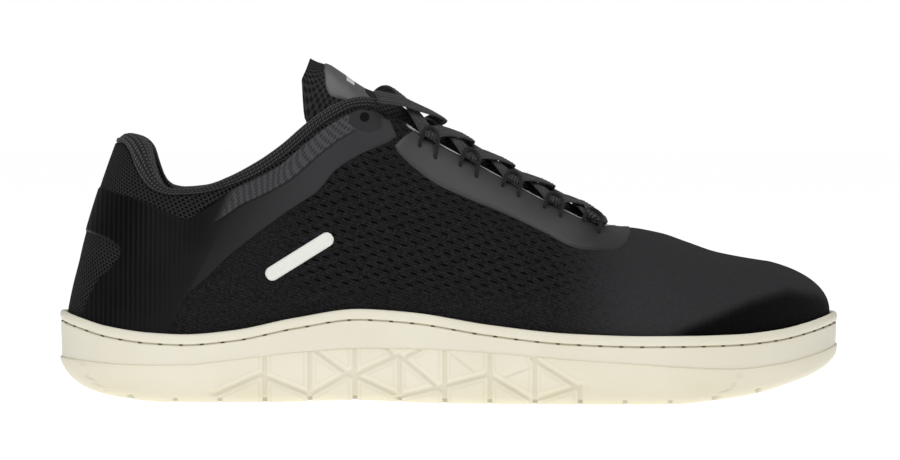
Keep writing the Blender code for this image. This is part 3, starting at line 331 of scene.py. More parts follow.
# Each rib's two inner handles.
# Columns: share of the way from heel to toe round the outline, rise and bulge of the
# lower handle (shares of the rib's height and of BALL_WIDTH), reach and drop of the
# upper handle (shares of the rib's width and height).
RIBS = (
    (0.00, 0.205, -0.036, 0.590, 0.400),
    (0.07, 0.250, -0.024, 0.640, 0.360),
    (0.13, 0.320, -0.006, 0.700, 0.290),
    (0.20, 0.380, 0.008, 0.745, 0.220),
    (0.30, 0.430, 0.012, 0.720, 0.070),
    (0.42, 0.500, 0.010, 0.670, 0.020),
    (0.55, 0.550, 0.010, 0.580, 0.010),
    (0.70, 0.550, 0.014, 0.550, 0.030),
    (0.85, 0.560, 0.012, 0.590, 0.100),
    (1.00, 0.470, 0.003, 0.600, 0.180),
)

# %% The last's surface
def foot_along(share):
    """How far along the shoe a rib starts, as a share of LENGTH, mean of both sides."""
    lateral = outline(LATERAL, share, 0)[0][..., 0]
    return 0.5 * (lateral + outline(MEDIAL, share, 0)[0][..., 0]) / LENGTH


def fan(share, start, pole):
    """Where the ribs that fan out to one end of the shoe meet the ridge.

    A cubic that leaves the straight ribs at start without a kink and ends at the pole.
    """
    shares = np.linspace(0, 1, 1001)
    whole = float(np.interp(start, foot_along(shares), shares))
    end = 0.0 if pole < 0.5 else 1.0
    step = 0.01 if end > whole else -0.01
    pace = (start - foot_along(np.array(whole - step))) / step * (end - whole)
    u = np.clip((share - whole) / (end - whole), 0, 1)
    stop = FAN_SPREAD * (pole - start)
    curve = (1 + 2 * u) * (1 - u) ** 2 * start + u * (1 - u) ** 2 * pace
    return curve + u * u * (3 - 2 * u) * pole + u * u * (u - 1) * stop


def ridge_along(share):
    """How far along the shoe a rib meets the ridge, in metres."""
    foot = foot_along(share)
    heel = foot < HEEL_FAN
    toe = foot > TOE_FAN
    along = np.where(heel, fan(share, HEEL_FAN, HEEL_POLE), foot)
    return np.where(toe, fan(share, TOE_FAN, TOE_POLE), along) * LENGTH


def last(side, share, climb):
    """Points of the last: share runs from heel to toe, climb from the rim 0 to the ridge 1.

    A climb below 0 goes down inside the sole's cup, to the midsole's floor at -1. Each rib
    is a cubic Bezier curve.
    """
    share, climb = np.broadcast_arrays(np.asarray(share, float), np.asarray(climb, float))
    foot, away = outline(side, share, RIM_WIDTH)
    start = np.concatenate([foot, rim_top(foot[..., 0])[..., None]], axis=-1)
    x = ridge_along(share)
    ridge = monotone(RIDGE, x / LENGTH)
    end = np.stack([x, ridge[..., 0] * BALL_WIDTH, ridge[..., 1] * INSTEP_HEIGHT], axis=-1)
    rise, bulge, reach, drop = np.moveaxis(monotone(RIBS, share), -1, 0)
    tall = end[..., 2] - start[..., 2]
    low = start.copy()
    low[..., 2] += rise * tall
    low[..., :2] += away * (bulge * BALL_WIDTH)[..., None]
    high = end.copy()
    high[..., 2] -= drop * tall
    high[..., :2] += reach[..., None] * (start - end)[..., :2]
    v = np.clip(climb, 0, 1)[..., None]
    point = (1 - v) ** 3 * start + 3 * v * (1 - v) ** 2 * low
    point = point + 3 * v * v * (1 - v) * high + v**3 * end
    down = np.clip(-climb, 0, 1)
    point[..., 2] -= down * (start[..., 2] - bed(foot[..., 0]) - CLEARANCE)
    return point


def facing(side, share, climb):
    """Outward directions of the last. On the ridge the two sides' directions are shared."""
    step = 1e-3
    share, climb = np.broadcast_arrays(np.asarray(share, float), np.asarray(climb, float))
    near = np.clip(climb, -1, 1 - 2 * step)
    total = np.zeros(share.shape + (3,))
    for this, used in ((side, np.ones(share.shape)), (-side, climb > 1 - 2 * step)):
        ahead = last(this, np.clip(share + step, 0, 1), near)
        behind = last(this, np.clip(share - step, 0, 1), near)
        over = last(-this, np.where(share < 0.5, step, 1 - step), near)
        behind = np.where((share < step)[..., None], over, behind)
        ahead = np.where((share > 1 - step)[..., None], over, ahead)
        up = last(this, share, near + step) - last(this, share, np.clip(near - step, -1, 1))
        out = np.cross(up, ahead - behind) * this
        out = out / np.linalg.norm(out, axis=-1, keepdims=True)
        total = total + out * used[..., None]
    return total / np.linalg.norm(total, axis=-1, keepdims=True)


def off_last(side, share, climb, stand):
    """Points that stand a distance off the last, outwards if it is positive."""
    share, climb = np.broadcast_arrays(np.asarray(share, float), np.asarray(climb, float))
    stand = np.broadcast_to(np.asarray(stand, float), share.shape)
    return last(side, share, climb) + facing(side, share, climb) * stand[..., None]


# %% [markdown]
# ## Finding places on the last
# The collar, the throat and the films are drawn as lines in the side view, or as distances
# from the ridge. These functions find where each rib crosses such a line.

# %% Edges of the upper
UPPER_WALL = 2.0 * MM
# The edge of the upper's collar seen from the side, as far as the throat.
# Columns: along (share of LENGTH), height (share of INSTEP_HEIGHT).
TOPLINE = (
    (0.000, 0.853),
    (0.080, 0.852),
    (0.090, 0.825),
    (0.099, 0.772),
    (0.108, 0.733),
    (0.118, 0.705),
    (0.130, 0.690),
    (0.149, 0.682),
    (0.180, 0.686),
    (0.243, 0.733),
    (0.285, 0.798),
    (0.333, 0.902),
    (0.355, 0.940),
    (0.377, 0.968),
    (0.395, 0.972),
    (0.412, 0.957),
    (0.447, 0.918),
    (0.480, 0.872),
)
THROAT_TOP = 0.440
THROAT_FRONT = 0.7085
# The throat's edge seen from above, down to its rounded front.
# Columns: along (share of LENGTH), distance from the ridge to the lateral and to the
# medial edge (shares of BALL_WIDTH).
THROAT = (
    (0.440, 0.175, 0.105),
    (0.500, 0.194, 0.110),
    (0.560, 0.207, 0.117),
    (0.600, 0.223, 0.128),
    (0.630, 0.238, 0.134),
    (0.655, 0.240, 0.126),
    (0.680, 0.190, 0.098),
    (0.695, 0.124, 0.064),
    (0.704, 0.056, 0.030),
    (0.7085, 0.000, 0.000),
)


def first_above(side, share, test):
    """The climb at which each rib first passes a test: a function of its points that
    turns positive."""
    share = np.atleast_1d(np.asarray(share, float))
    climbs = np.linspace(0, 1, 401)
    points = last(side, share[:, None], climbs[None])
    over = test(points)
    above = over > 0
    first = np.argmax(above, axis=1)
    k = np.arange(len(share))
    before = np.clip(first - 1, 0, None)
    span = over[k, first] - over[k, before]
    part = np.where(first > 0, -over[k, before] / np.where(span == 0, 1, span), 0)
    found = climbs[before] + np.clip(part, 0, 1) * (climbs[1] - climbs[0])
    return np.where(above.any(axis=1), found, 1.0)


def climb_to_line(side, share, line):
    """The climb at which each rib rises above a line seen from the side."""

    def over(points):
        """Height above the line."""
        height = monotone(line, points[..., 0] / LENGTH)[..., 0]
        return points[..., 2] - height * INSTEP_HEIGHT

    return first_above(side, share, over)


def climb_to_reach(side, share, reach):
    """The climb at which each rib comes within a sideways reach of its own ridge point."""
    reach = np.broadcast_to(np.atleast_1d(np.asarray(reach, float)), np.shape(share))

    def over(points):
        """How far inside the reach, sideways from the rib's ridge point."""
        away = np.abs(points[..., 1] - points[:, -1:, 1])
        return reach[:, None] - away

    return np.where(reach > 0, first_above(side, share, over), 1.0)


def climb_to_edge(side, share):
    """The climb of the upper's edge: collar, then throat. Ahead of the throat it is 1."""
    share = np.atleast_1d(np.asarray(share, float))
    x = ridge_along(share) / LENGTH
    column = 0 if side == LATERAL else 1
    reach = monotone(THROAT, x)[..., column] * BALL_WIDTH
    throat = climb_to_reach(side, share, reach)
    collar = climb_to_line(side, share, TOPLINE)
    edge = np.where(x < THROAT_TOP, collar, throat)
    return np.where((x > THROAT_TOP) & (reach < UPPER_WALL), 1.0, edge)


def share_at(along):
    """The share of the rib whose ridge point lies at a place along the shoe."""
    shares = np.linspace(0, 1, 2001)
    return np.interp(np.asarray(along, float) * LENGTH, ridge_along(shares), shares)


def crown(along, across, stand):
    """Points over the instep: along as a share of LENGTH, across from the ridge in metres
    (lateral is negative), and a distance off the last."""
    along, across, stand = np.broadcast_arrays(along, across, stand)
    share = share_at(along.ravel())
    found = np.zeros(share.shape + (3,))
    for side in (LATERAL, MEDIAL):
        here = across.ravel() * side >= 0 if side == MEDIAL else across.ravel() < 0
        if here.any():
            reach = np.maximum(np.abs(across.ravel()[here]), 1e-6)
            climb = climb_to_reach(side, share[here], reach)
            found[here] = off_last(side, share[here], climb, stand.ravel()[here])
    return found.reshape(along.shape + (3,))


def throat_reach(side, along):
    """Sideways distance from the ridge to the throat's edge."""
    return monotone(THROAT, along)[..., 0 if side == LATERAL else 1] * BALL_WIDTH


def seen_at(side, along, height):
    """Share and climb of the last's point that shows at a place in the side view.

    An along of zero is the heel's back, and a height of zero is the rim.
    """
    x = along * LENGTH
    z = height * INSTEP_HEIGHT
    if along == 0:
        climb = first_above(side, np.array([0.0]), lambda points: points[..., 2] - z)
        return np.array([0.0, climb[0]])
    if height == 0:
        shares = np.linspace(0, 1, 2001)
        foot = last(side, shares, 0.0)[:, 0]
        return np.array([np.interp(x, foot, shares), 0.012])
    shares = np.linspace(0, 1, 181)
    climbs = np.linspace(0, 1, 121)
    grid = last(side, shares[:, None], climbs[None])
    miss = (grid[..., 0] - x) ** 2 + (grid[..., 2] - z) ** 2
    i, j = np.unravel_index(int(np.argmin(miss)), miss.shape)
    guess = np.array([shares[i], climbs[j]])
    step = 1e-3
    for _ in range(8):
        here = last(side, guess[0], guess[1])[[0, 2]]
        along_share = last(side, guess[0] + step, guess[1])[[0, 2]] - here
        up_climb = last(side, guess[0], guess[1] + step)[[0, 2]] - here
        slopes = np.stack([along_share, up_climb], axis=1) / step
        move = np.linalg.lstsq(slopes, np.array([x, z]) - here, rcond=None)[0]
        guess = np.clip(guess + np.clip(move, -0.02, 0.02), 0.0, 1 - 2 * step)
    return guess


def stations(count):
    """Shares from heel to toe, closer together at both ends and at the throat's front."""
    t = np.linspace(0, 1, 2001)
    weight = 1 + 1.3 * np.exp(-((t / 0.09) ** 2)) + 1.1 * np.exp(-(((1 - t) / 0.09) ** 2))
    weight += 0.8 * np.exp(-(((t - 0.675) / 0.03) ** 2))
    grown = np.concatenate([[0], np.cumsum((weight[1:] + weight[:-1]) / 2)])
    return np.interp(np.linspace(0, grown[-1], count + 1), grown, t)


print("Throat half width at its middle, mm:", round(float(throat_reach(LATERAL, 0.6)) / MM, 1))

# %% [markdown]
# ## From a grid of points to a mesh
# Each piece is one grid: its rows run round the piece's section and close into a ring, and
# its columns run along the piece. Numpy works out all points at once, and foreach_set puts
# them into the mesh. Where a piece ends, its last section shrinks to one point. Points that
# lie on each other are then merged, so every mesh is closed and faces outwards.

# %% One function for every mesh
def solid(name, grid, nodes, finish, ring=False, cloth=None, marks=None, drop=None):
    """A closed mesh from a grid of points, rows first, in the shoe's own frame.

    The last row joins the first, and with ring the last column joins the first column.
    cloth is a place on the fabric in metres for each point, marks are numbers for each
    point by name, and drop marks quads to leave out.
    """
    rows, columns = grid.shape[:2]
    i = np.arange(rows)[:, None]
    j = np.arange(columns if ring else columns - 1)[None]
    k, up = (j + 1) % columns, (i + 1) % rows
    corners = [i * columns + j, i * columns + k, up * columns + k, up * columns + j]
    corners = np.stack(corners, axis=-1)
    corners = corners.reshape(-1, 4) if drop is None else corners[~drop]
    mesh = bpy.data.meshes.new(name)
    mesh.vertices.add(rows * columns)
    mesh.vertices.foreach_set("co", (grid + SHIFT).ravel())
    mesh.loops.add(corners.size)
    mesh.loops.foreach_set("vertex_index", corners.ravel())
    mesh.polygons.add(len(corners))
    mesh.polygons.foreach_set("loop_start", np.arange(0, corners.size, 4))
    mesh.update(calc_edges=True)
    if cloth is not None:
        layer = mesh.uv_layers.new(name="cloth")
        layer.data.foreach_set("uv", cloth.reshape(-1, 2)[corners.ravel()].ravel())
    for mark, values in (marks or {}).items():
        made = mesh.attributes.new(mark, "FLOAT", "POINT")
        values = np.broadcast_to(values, (rows, columns)).astype(np.float32)
        made.data.foreach_set("value", values.ravel())
    shape = bmesh.new()
    shape.from_mesh(mesh)
    bmesh.ops.remove_doubles(shape, verts=shape.verts, dist=0.004 * MM)
    bmesh.ops.recalc_face_normals(shape, faces=shape.faces)
    if shape.calc_volume(signed=True) < 0:
        bmesh.ops.reverse_faces(shape, faces=shape.faces)
    loose = sum(not edge.is_manifold for edge in shape.edges)
    shape.to_mesh(mesh)
    shape.free()
    mesh.shade_smooth()
    mesh.materials.append(finish)
    piece = bpy.data.objects.new(name, mesh)
    bpy.context.scene.collection.objects.link(piece)
    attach(piece, "root")
    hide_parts(*nodes)
    print(f"{name}: {len(mesh.polygons)} faces, {loose} open edges")
    return piece


def ended(grid):
    """The grid with one more column at each end, where the whole section is one point."""
    first = np.broadcast_to(grid[:, :1].mean(axis=0, keepdims=True), grid[:, :1].shape)
    final = np.broadcast_to(grid[:, -1:].mean(axis=0, keepdims=True), grid[:, :1].shape)
    return np.concatenate([first, grid, final], axis=1)


def ended_cloth(cloth):
    """The cloth places or marks that go with an ended grid."""
    return np.concatenate([cloth[:, :1], cloth, cloth[:, -1:]], axis=1)


def ramp(value, start, end):
    """A smooth step from 0 at start to 1 at end: 3t^2 - 2t^3."""
    t = np.clip((value - start) / (end - start), 0, 1)
    return t * t * (3 - 2 * t)


def through(points, count, closed=False):
    """A Catmull-Rom curve through rows of points along the first axis, at count places
    spread evenly over the rows."""
    p = np.asarray(points, float)
    n = len(p)
    t = np.linspace(0, n if closed else n - 1, count, endpoint=not closed)
    i = np.minimum(t.astype(int), n - 1 if closed else n - 2)
    u = (t - i).reshape(-1, *[1] * (p.ndim - 1))
    if closed:
        a, b, c, d = (p[(i + k) % n] for k in (-1, 0, 1, 2))
    else:
        a, b, c, d = (p[np.clip(i + k, 0, n - 1)] for k in (-1, 0, 1, 2))
    straight = 2 * b + (c - a) * u
    return 0.5 * (straight + (2 * a - 5 * b + 4 * c - d) * u**2 + (3 * (b - c) + d - a) * u**3)


# %% [markdown]
# ## Colours and nodes
# Colours are written as the sRGB hex values that a picture shows, and one function turns
# them into the linear light that the shader needs. One more function adds a node, sets it
# and links it, so each material reads like a recipe.

# %% Helpers for materials
def linear(colour):
    """An sRGB hex colour as linear red, green, blue and 1."""
    levels = [int(colour[k : k + 2], 16) / 255 for k in (0, 2, 4)]
    return (*[c / 12.92 if c <= 0.04045 else ((c + 0.055) / 1.055) ** 2.4 for c in levels], 1)


def start(name, **sockets):
    """A new material: returns it, its node tree and its Principled shader with the given
    sockets set."""
    made = bpy.data.materials.new(name)
    made.use_nodes = True
    shader = made.node_tree.nodes["Principled BSDF"]
    for socket, value in sockets.items():
        shader.inputs[socket.replace("_", " ")].default_value = value
    return made, made.node_tree, shader


def add(tree, kind, links, **settings):
    """Adds a node of that kind with its settings. Each input is fed by a node's first
    output, by a socket or by a value."""
    node = tree.nodes.new("ShaderNode" + kind)
    for key, value in settings.items():
        setattr(node, key, value)
    for key, value in links.items():
        value = value.outputs[0] if isinstance(value, bpy.types.Node) else value
        if isinstance(value, bpy.types.NodeSocket):
            tree.links.new(value, node.inputs[key])
        else:
            node.inputs[key].default_value = value
    return node


def cloth_axes(tree):
    """The two distances on the fabric, in metres: along its rows and across them."""
    place = add(tree, "UVMap", {}, uv_map="cloth")
    parts = add(tree, "SeparateXYZ", {0: place})
    return parts.outputs[0], parts.outputs[1]


def wave(tree, distance, pitch):
    """A sine wave along a distance: sin(2 pi distance / pitch)."""
    turn = add(tree, "Math", {0: distance, 1: 2 * math.pi / pitch}, operation="MULTIPLY")
    return add(tree, "Math", {0: turn}, operation="SINE")


def staggered(tree, along, across, length, pitch, slim=1):
    """Spots in rows a pitch apart, each row shifted by half a spot: the product of a wave
    along the rows and a wave of twice the pitch across them. An odd power of the second
    wave makes the spots slim."""
    first = wave(tree, along, length)
    second = wave(tree, across, 2 * pitch)
    second = add(tree, "Math", {0: second, 1: slim}, operation="POWER")
    return add(tree, "Math", {0: first, 1: second}, operation="MULTIPLY")


def stepped(tree, value, low, high):
    """A smooth step of a value from 0 at low to 1 at high."""
    links = {"Value": value, "From Min": low, "From Max": high}
    return add(tree, "MapRange", links, interpolation_type="SMOOTHSTEP")


def blended(tree, share, first, second):
    """A colour between two colours, each a hex value or a node."""
    a, b = (linear(c) if isinstance(c, str) else c for c in (first, second))
    return add(tree, "MixRGB", {0: share, 1: a, 2: b})


def pressed(tree, shader, height, depth):
    """Feeds a height from 0 to 1 to the shader as bump of that real depth in metres."""
    bump = add(tree, "Bump", {"Height": height, "Distance": depth, "Strength": 1.0})
    tree.links.new(bump.outputs[0], shader.inputs["Normal"])


# %% [markdown]
# ## Black flat-knit polyester
# The upper is knitted in one piece on a flat-bed machine. Its quarter has rows of slits
# between raised ribs, the rest is a finer rib, the toe and heel are denser. The real yarn
# is about 0.3 mm thick, which this picture can't show, so the yarn grain is drawn about
# three times coarser. Zones come as numbers on the points of the mesh, and the rows follow
# the piece's own cloth map, so the knit bends with the foot.

# %% Knit material
SLIT_PITCH = 2.2 * MM
SLIT_LENGTH = 6.4 * MM
RIB_PITCH = 1.1 * MM
MESH_PITCH = 1.15 * MM
YARN_GRAIN = 0.9 * MM


def knit(name, dark, light, slot_shadow):
    """The knit: ribs, slits, mesh and yarn grain, blended by the marks on the mesh. The low
    parts between the ribs carry painted shade, and the vamp is painted lighter, partly for
    its own mottled knit and partly as painted light from above.
    """
    made, tree, shader = start(name, Roughness=0.85, Specular_IOR_Level=0.07)
    shader.inputs["Sheen Weight"].default_value = 0.02
    shader.inputs["Sheen Roughness"].default_value = 0.4
    along, across = cloth_axes(tree)
    spot = add(tree, "TexCoord", {})
    grain = add(tree, "TexNoise", {"Vector": spot.outputs[3], "Scale": 1 / YARN_GRAIN})
    wander = add(tree, "TexNoise", {"Vector": spot.outputs[3], "Scale": 90.0})
    sway = add(tree, "Math", {0: wander, 1: 0.0008}, operation="MULTIPLY")
    across = add(tree, "Math", {0: across, 1: sway}, operation="ADD").outputs[0]
    zones = {k: add(tree, "Attribute", {}, attribute_name=k).outputs[2] for k in ZONES}
    between = add(tree, "Math", {0: across, 1: RIB_PITCH / 4}, operation="SUBTRACT")
    ribs = stepped(tree, wave(tree, between, RIB_PITCH), -1.0, 1.0)
    spots = staggered(tree, along, across, SLIT_LENGTH, SLIT_PITCH, 7)
    slits = stepped(tree, spots, 0.08, 0.50)
    slits = add(tree, "Math", {0: slits, 1: zones["slits"]}, operation="MULTIPLY")
    holes = stepped(tree, staggered(tree, along, across, 2 * MESH_PITCH, MESH_PITCH), 0.0, 0.6)
    holes = add(tree, "Math", {0: holes, 1: zones["mesh"]}, operation="MULTIPLY")
    twill = wave(tree, add(tree, "Math", {0: along, 1: across}, operation="ADD"), 1.5 * MM)
    twill = stepped(tree, twill, -0.6, 0.9)
    fine = blended(tree, zones["twill"], ribs.outputs[0], twill.outputs[0])
    quiet = add(tree, "Math", {0: zones["vamp"], 1: 0.45}, operation="MULTIPLY")
    fine = blended(tree, quiet, fine, (0.5, 0.5, 0.5, 1))
    height = add(tree, "Math", {0: fine, 1: 0.45}, operation="MULTIPLY")
    height = add(tree, "Math", {0: grain, 1: height}, operation="ADD")
    open_ = add(tree, "Math", {0: slits, 1: holes}, operation="ADD", use_clamp=True)
    height = add(tree, "Math", {0: height, 1: open_}, operation="SUBTRACT")
    pressed(tree, shader, height, 0.35 * MM)
    tone = blended(tree, stepped(tree, grain, 0.25, 0.78), dark, light)
    open_yarn = add(tree, "Math", {0: zones["mesh"], 1: 0.55}, operation="MULTIPLY")
    tone = blended(tree, open_yarn, tone, "38383a")
    # Painted shade: darker in the low parts between the ribs.
    tone = blended(tree, add(tree, "Math", {0: fine, 1: -0.55}, operation="MULTIPLY_ADD"), tone, dark)
    # The vamp is painted lighter: partly its own mottled knit, partly painted light from above.
    lit = add(tree, "Math", {0: zones["vamp"], 1: 0.6}, operation="MULTIPLY")
    tone = blended(tree, lit, tone, "3c3c3e")
    shade = add(tree, "Math", {0: zones["twill"], 1: 0.85}, operation="MULTIPLY")
    tone = blended(tree, shade, tone, slot_shadow)
    tone = blended(tree, open_, tone, slot_shadow)
    tone = blended(tree, zones["cut"], tone, "b4b4b2")
    tree.links.new(tone.outputs[0], shader.inputs["Base Color"])
    return made


ZONES = ("slits", "mesh", "twill", "vamp", "cut")
flat_knit = knit("polyester_flat_knit", "121213", "2b2b2d", "020202")
print("Knit slits every", SLIT_PITCH / MM, "mm")

# %% [markdown]
# ## The upper
# The real upper is a sock-like tube of knit about 2 mm thick, stretched over the last and
# tucked into the sole. Its section is a loop: up the outside, over the rounded edge of
# collar or throat, and down the inside. The knit is never quite smooth, so a few soft
# hollows and ridges are placed as distances from short lines in the side view.

# %% Soft creases of the upper
# Columns: start along and height, end along and height (shares of LENGTH and
# INSTEP_HEIGHT), half width and depth in millimetres. A negative depth is a ridge.
CREASES = (
    (0.700, 0.540, 0.765, 0.330, 7.0, 0.70),
    (0.735, 0.545, 0.800, 0.345, 6.0, -0.45),
    (0.665, 0.500, 0.700, 0.310, 6.0, 0.35),
    (0.150, 0.560, 0.260, 0.400, 9.0, 0.80),
    (0.215, 0.440, 0.330, 0.700, 8.0, -0.50),
    (0.400, 0.420, 0.560, 0.330, 9.0, 0.40),
    (0.040, 0.440, 0.110, 0.360, 6.0, 0.45),
)


def crease_depth(points):
    """How far the knit lies below the last: the sum of bell curves of the distance from
    each crease's line in the side view."""
    flat = points[..., [0, 2]]
    total = np.zeros(points.shape[:-1])
    for x0, z0, x1, z1, width, depth in CREASES:
        a = np.array([x0 * LENGTH, z0 * INSTEP_HEIGHT])
        run = np.array([x1 * LENGTH, z1 * INSTEP_HEIGHT]) - a
        part = np.clip(((flat - a) @ run) / (run @ run), 0, 1)
        away = np.linalg.norm(flat - a - part[..., None] * run, axis=-1)
        total += depth * MM * np.exp(-((away / (width * MM)) ** 2))
    return total


print("Creases:", len(CREASES))

# %% Zones of the knit
# The front edge of the knit's mesh zone, which lies below the pressed film, and the top of
# the dark toe, seen from the side.
# Columns: along, height (shares of LENGTH and INSTEP_HEIGHT).
FILM_FRONT = (
    (0.126, 0.230),
    (0.160, 0.420),
    (0.196, 0.500),
    (0.231, 0.580),
    (0.290, 0.660),
    (0.420, 0.880),
)
TOE_TOP = (
    (0.790, 0.245),
    (0.830, 0.285),
    (0.880, 0.335),
    (0.930, 0.365),
    (0.970, 0.345),
    (1.000, 0.315),
)
SLANT = math.atan(0.33)


def knit_zones(points):
    """Each zone's strength from a point's place in the side view."""
    x, z = points[..., 0] / LENGTH, points[..., 2] / INSTEP_HEIGHT
    front = np.array(FILM_FRONT)
    toe = np.array(TOE_TOP)
    mesh = 1 - ramp(x - np.interp(z, front[:, 1], front[:, 0]), -0.02, 0.0)
    twill = ramp(np.interp(x, toe[:, 0], toe[:, 1]) - z, -0.02, 0.03) * ramp(x, 0.77, 0.80)
    slits = ramp(x, 0.27, 0.33) * (1 - ramp(x, 0.62, 0.70)) * ramp(z, 0.31, 0.41)
    vamp = ramp(x, 0.62, 0.74) * (1 - twill)
    return {"mesh": mesh, "twill": twill, "slits": slits * (1 - mesh), "vamp": vamp}


def knit_places(outer, foot):
    """Where each point lies on the cloth: distance round the foot and up the rib, turned so
    that the knit's rows fall towards the toe at their slant."""
    step = np.linalg.norm(np.diff(outer, axis=0), axis=-1)
    up = np.concatenate([np.zeros_like(step[:1]), np.cumsum(step, axis=0)]) + outer[:1, :, 2]
    run = np.broadcast_to(foot, up.shape)
    c, s = math.cos(SLANT), math.sin(SLANT)
    return np.stack([run * c - up * s, up * c + run * s], axis=-1)


# %% The upper's wall
WALL_ROWS, SIDE_COLUMNS = 84, 290
# The rounded edge. Columns: setback from the edge in millimetres, stand off the last as a
# share of the wall.
EDGE = ((0.55, 0.0), (0.18, -0.10), (0.0, -0.32), (0.0, -0.68), (0.18, -0.90), (0.55, -1.0))
CUT_EDGE = 1.5 * MM


def wall_section(side, share):
    """Climb and stand of every point of the wall's section, for each rib of one side."""
    top = climb_to_edge(side, share)
    shut = top == 1.0
    reach = np.linalg.norm(last(side, share, top) - last(side, share, top - 0.02), axis=-1)
    pace = reach / 0.02
    rise = np.linspace(0, 1, WALL_ROWS)[:, None] * (top - np.where(shut, 0, CUT_EDGE / pace))
    setback, stand = np.array(EDGE).T
    edge = top - np.where(shut, 0, setback[:, None] * MM / pace)
    outside = np.arange(len(EDGE))[:, None] < len(EDGE) / 2
    turned = np.where(shut, np.where(outside, 0.0, -1.0), stand[:, None])
    inner = np.linspace(0.96, 0, 9)[:, None] * top
    foot = np.broadcast_to(np.array([[-1.0], [-0.5]]), (2, len(share)))
    climb = np.concatenate([foot, rise, edge, inner, foot[::-1]])
    flat = np.zeros((2 + WALL_ROWS, len(share)))
    stands = np.concatenate([flat, turned, np.full((11, len(share)), -1.0)]) * UPPER_WALL
    return climb, stands, shut


def whole_loop(halves):
    """Lateral half from heel to toe, then the medial half back, without its end ribs."""
    return np.concatenate([halves[0], halves[1][:, -2:0:-1]], axis=1)


share = stations(SIDE_COLUMNS)
parts = {"points": [], "cloth": [], "cut": [], "shut": []}
for side in (LATERAL, MEDIAL):
    climb, stand, shut = wall_section(side, share)
    bare = last(side, share[None], climb)
    sunk = crease_depth(bare) * ramp(climb, 0.02, 0.12)
    points = off_last(side, share[None], climb, stand - sunk)
    foot = outline(side, share, 0)[0]
    foot = np.concatenate([[0], np.cumsum(np.linalg.norm(np.diff(foot, axis=0), axis=1))])
    parts["points"].append(points)
    parts["cloth"].append(knit_places(points, foot))
    edge = np.zeros(climb.shape)
    edge[WALL_ROWS + 1 : WALL_ROWS + 8] = (ridge_along(share) / LENGTH > THROAT_TOP) & ~shut
    parts["cut"].append(edge)
    parts["shut"].append(np.broadcast_to(shut, climb.shape))
points, cloth, cut, shut = (whole_loop(halves) for halves in parts.values())
drop = np.zeros(shut.shape, bool)
middle = 2 + WALL_ROWS + len(EDGE) // 2 - 1
drop[middle] = shut[middle] & np.roll(shut[middle], -1)
marks = knit_zones(points)
marks["cut"] = cut
solid("knit_upper", points, ["upper"], flat_knit, True, cloth, marks, drop)

# %% [markdown]
# ## Pressed film
# Heel, quarter and lace row are stiffened by thin polyurethane film, pressed on hot. It
# shows a soft sheen, which is also painted on as a lighter tone towards the front of the
# quarter, and the knit below prints through it as faint upright ribs. Under the collar it
# is perforated in a band, with a seam line below. The film is a strip between two edges
# drawn on the last, and its own edges are so thin that they look melted in.

